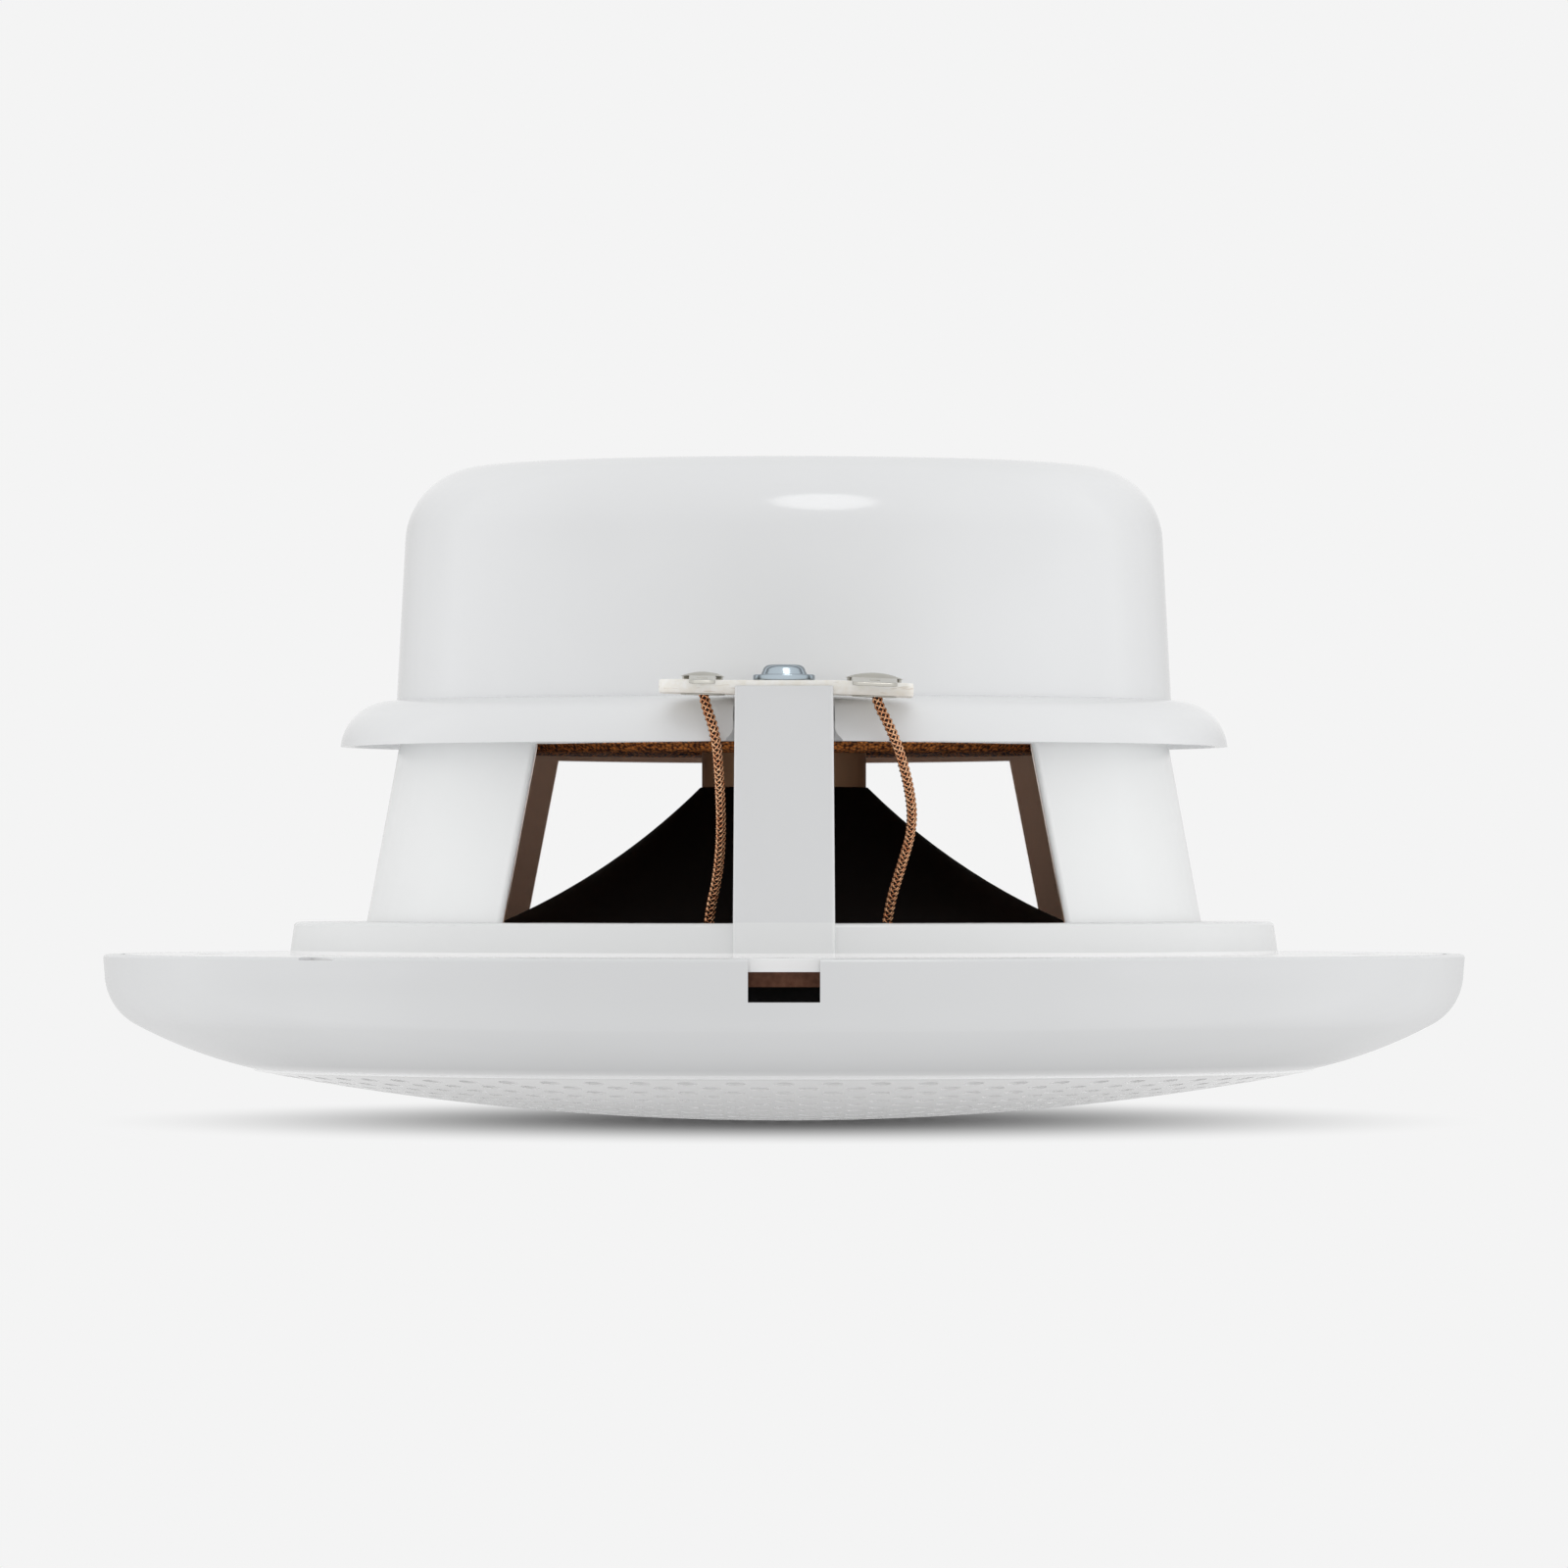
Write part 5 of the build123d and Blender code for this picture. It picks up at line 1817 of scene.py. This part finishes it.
@dataclass(frozen=True)
class SoftBox:
    """A flat lamp that faces the loudspeaker from a direction."""

    name: str
    azimuth: float
    elevation: float
    reach: float
    width: float
    height: float
    power: float
    mirrored: bool = False
    lighting: bool = True
    outline: Lamp = Lamp.BOX

    def build(self) -> None:
        """Hangs the lamp."""
        data = bpy.data.lights.new(self.name, "AREA")
        data.shape = self.outline.value
        data.size = self.width * MM
        data.size_y = self.height * MM
        data.energy = self.power
        lamp = bpy.data.objects.new(self.name, data)
        lamp.visible_glossy = self.mirrored
        lamp.visible_diffuse = self.lighting
        bpy.context.scene.collection.objects.link(lamp)
        turn, tilt = math.radians(self.azimuth), math.radians(self.elevation)
        flat = math.cos(tilt)
        way = Vector((math.sin(turn) * flat, -math.cos(turn) * flat, math.sin(tilt)))
        lamp.location = way * self.reach * MM + Vector((0, 0, 20 * MM))
        lamp.rotation_euler = (-way).to_track_quat("-Z", "Y").to_euler()


SOFT_BOXES: tuple[SoftBox, ...] = (
    SoftBox("left_strip", -78.0, 0.0, 1000.0, 700.0, 260.0, 1.4),
    SoftBox("right_strip", 72.0, 0.0, 1000.0, 700.0, 260.0, 1.8),
    SoftBox("front_oval", 14.5, 46.0, 1200.0, 560.0, 520.0, 2.3, True, False, Lamp.OVAL),
    SoftBox("top_box", 0.0, 80.0, 1200.0, 900.0, 900.0, 1.95),
    SoftBox("left_rear_strip", -110.0, 0.0, 1000.0, 700.0, 260.0, 0.35),
    SoftBox("right_rear_strip", 110.0, 0.0, 1000.0, 700.0, 260.0, 0.35),
    SoftBox("under_box", 0.0, -90.0, 1200.0, 300.0, 300.0, 1.2),
)


@dataclass
class Studio:
    """Camera, soft light and a floor with a painted shadow near the dome, which fades into the pale background."""

    distance: float = 1155.0
    camera_height: float = 7.7
    target_height: float = 19.0
    focal: float = 237.0
    floor: float = -18.55
    backdrop: float = 0.905
    # Dark floor tone near the dome that paints its shadow deeper; the fades set where the backdrop takes over.
    shadow_floor_tone: float = 0.16
    fade_from: float = 0.02
    fade_to: float = 0.12
    fade_stretch: float = 1.5
    world: float = 0.72

    def build(self) -> None:
        """Sets the stage."""
        self._camera()
        self._world()
        self._floor()
        self._lamps()

    def _camera(self) -> None:
        """A long lens just above the ceiling plane, looking along +Y."""
        data = bpy.data.cameras.new("camera")
        data.lens = self.focal
        data.sensor_width = 36.0
        camera = bpy.data.objects.new("camera", data)
        bpy.context.scene.collection.objects.link(camera)
        place = Vector((0, -self.distance, self.camera_height)) * MM
        target = Vector((0, 0, self.target_height)) * MM
        camera.location = place
        camera.rotation_euler = (target - place).to_track_quat("-Z", "Y").to_euler()
        data.clip_start = 0.01
        data.clip_end = 100.0
        bpy.context.scene.camera = camera

    def _world(self) -> None:
        """Even light from all round, and a pale background to the camera and in reflections."""
        world = bpy.data.worlds.new("studio")
        bpy.context.scene.world = world
        world.use_nodes = True
        nodes, links = world.node_tree.nodes, world.node_tree.links
        background = nodes["Background"]
        background.inputs["Color"].default_value = (1, 1, 1, 1)
        strength = nodes.new("ShaderNodeMapRange")
        strength.inputs["To Min"].default_value = self.world
        strength.inputs["To Max"].default_value = self.backdrop
        links.new(self._seen(nodes, links), strength.inputs["Value"])
        links.new(strength.outputs["Result"], background.inputs["Strength"])

    @staticmethod
    def _seen(nodes: bpy.types.Nodes, links: bpy.types.NodeLinks) -> bpy.types.NodeSocket:
        """A mask of the rays that show the background: camera, glossy and transmission rays."""
        path = nodes.new("ShaderNodeLightPath")
        first = nodes.new("ShaderNodeMath")
        first.operation = "MAXIMUM"
        second = nodes.new("ShaderNodeMath")
        second.operation = "MAXIMUM"
        links.new(path.outputs["Is Camera Ray"], first.inputs[0])
        links.new(path.outputs["Is Glossy Ray"], first.inputs[1])
        links.new(first.outputs[0], second.inputs[0])
        links.new(path.outputs["Is Transmission Ray"], second.inputs[1])
        return second.outputs[0]

    def _floor(self) -> None:
        """A wide floor under the dome, which keeps its real shadow, deepens it with a dark painted-shadow tone near
        the dome and fades into the pale backdrop.
        """
        mesh = bmesh.new()
        bmesh.ops.create_grid(mesh, x_segments=1, y_segments=1, size=40.0)
        bmesh.ops.translate(mesh, verts=mesh.verts[:], vec=(0, 0, self.floor * MM))
        floor = add_object("floor", mesh)
        material = bpy.data.materials.new("floor_paper")
        material.use_nodes = True
        nodes, links = material.node_tree.nodes, material.node_tree.links
        shader = nodes["Principled BSDF"]
        # Painted shadow: a dark floor tone near the dome deepens the shadow that it receives.
        shader.inputs["Base Color"].default_value = (self.shadow_floor_tone, self.shadow_floor_tone, self.shadow_floor_tone, 1)
        shader.inputs["Roughness"].default_value = 1.0
        shader.inputs["Specular IOR Level"].default_value = 0.0
        glow = nodes.new("ShaderNodeEmission")
        glow.inputs["Strength"].default_value = self.backdrop
        place = nodes.new("ShaderNodeTexCoord")
        oval = nodes.new("ShaderNodeMapping")
        oval.inputs["Scale"].default_value = (self.fade_stretch, 1, 1)
        length = nodes.new("ShaderNodeVectorMath")
        length.operation = "LENGTH"
        fade = nodes.new("ShaderNodeMapRange")
        fade.interpolation_type = "SMOOTHSTEP"
        fade.inputs["From Min"].default_value = self.fade_from
        fade.inputs["From Max"].default_value = self.fade_to
        share = nodes.new("ShaderNodeMath")
        share.operation = "MULTIPLY"
        mix = nodes.new("ShaderNodeMixShader")
        links.new(place.outputs["Object"], oval.inputs["Vector"])
        links.new(oval.outputs["Vector"], length.inputs[0])
        links.new(length.outputs["Value"], fade.inputs["Value"])
        links.new(fade.outputs["Result"], share.inputs[0])
        links.new(self._seen(nodes, links), share.inputs[1])
        links.new(share.outputs[0], mix.inputs["Fac"])
        links.new(shader.outputs["BSDF"], mix.inputs[1])
        links.new(glow.outputs["Emission"], mix.inputs[2])
        links.new(mix.outputs["Shader"], nodes["Material Output"].inputs["Surface"])
        floor.data.materials.append(material)
        floor.visible_diffuse = False
        floor.visible_shadow = False

    def _lamps(self) -> None:
        """Hangs the soft boxes."""
        for box in SOFT_BOXES:
            box.build()


NEGATIVE_ROUTE: tuple[Point, ...] = (
    (-8.7, -51.2, 30.0),
    (-8.7, -51.2, 27.7),
    (-7.35, -50.6, 24.2),
    (-6.9, -47.6, 18.6),
    (-6.75, -43.9, 13.2),
    (-7.2, -40.2, 8.4),
    (-8.1, -37.7, 4.7),
    (-8.45, -36.0, 0.9),
)
POSITIVE_ROUTE: tuple[Point, ...] = (
    (9.65, -51.2, 30.0),
    (9.65, -51.2, 27.7),
    (11.6, -50.6, 24.2),
    (13.3, -47.9, 19.0),
    (13.95, -44.5, 14.2),
    (12.6, -41.0, 9.5),
    (11.3, -38.1, 5.3),
    (10.8, -35.9, 0.9),
)


def main() -> None:
    """Builds the stage and every piece in order."""
    logging.basicConfig(level=logging.INFO, format="%(message)s")
    bpy.context.scene.view_settings.view_transform = "Standard"
    palette = Palette()
    Studio().build()
    Lead("negative_lead", NEGATIVE_ROUTE, 33.7).build(palette)
    Lead("positive_lead", POSITIVE_ROUTE, 34.4).build(palette)
    FrontGrille().build(palette)
    Basket().build(palette)
    MagnetCover().build(palette)
    Motor().build(palette)
    MovingCone().build(palette)
    Suspension().build(palette)
    TerminalBoard().build(palette)


if __name__ == "__main__":
    main()
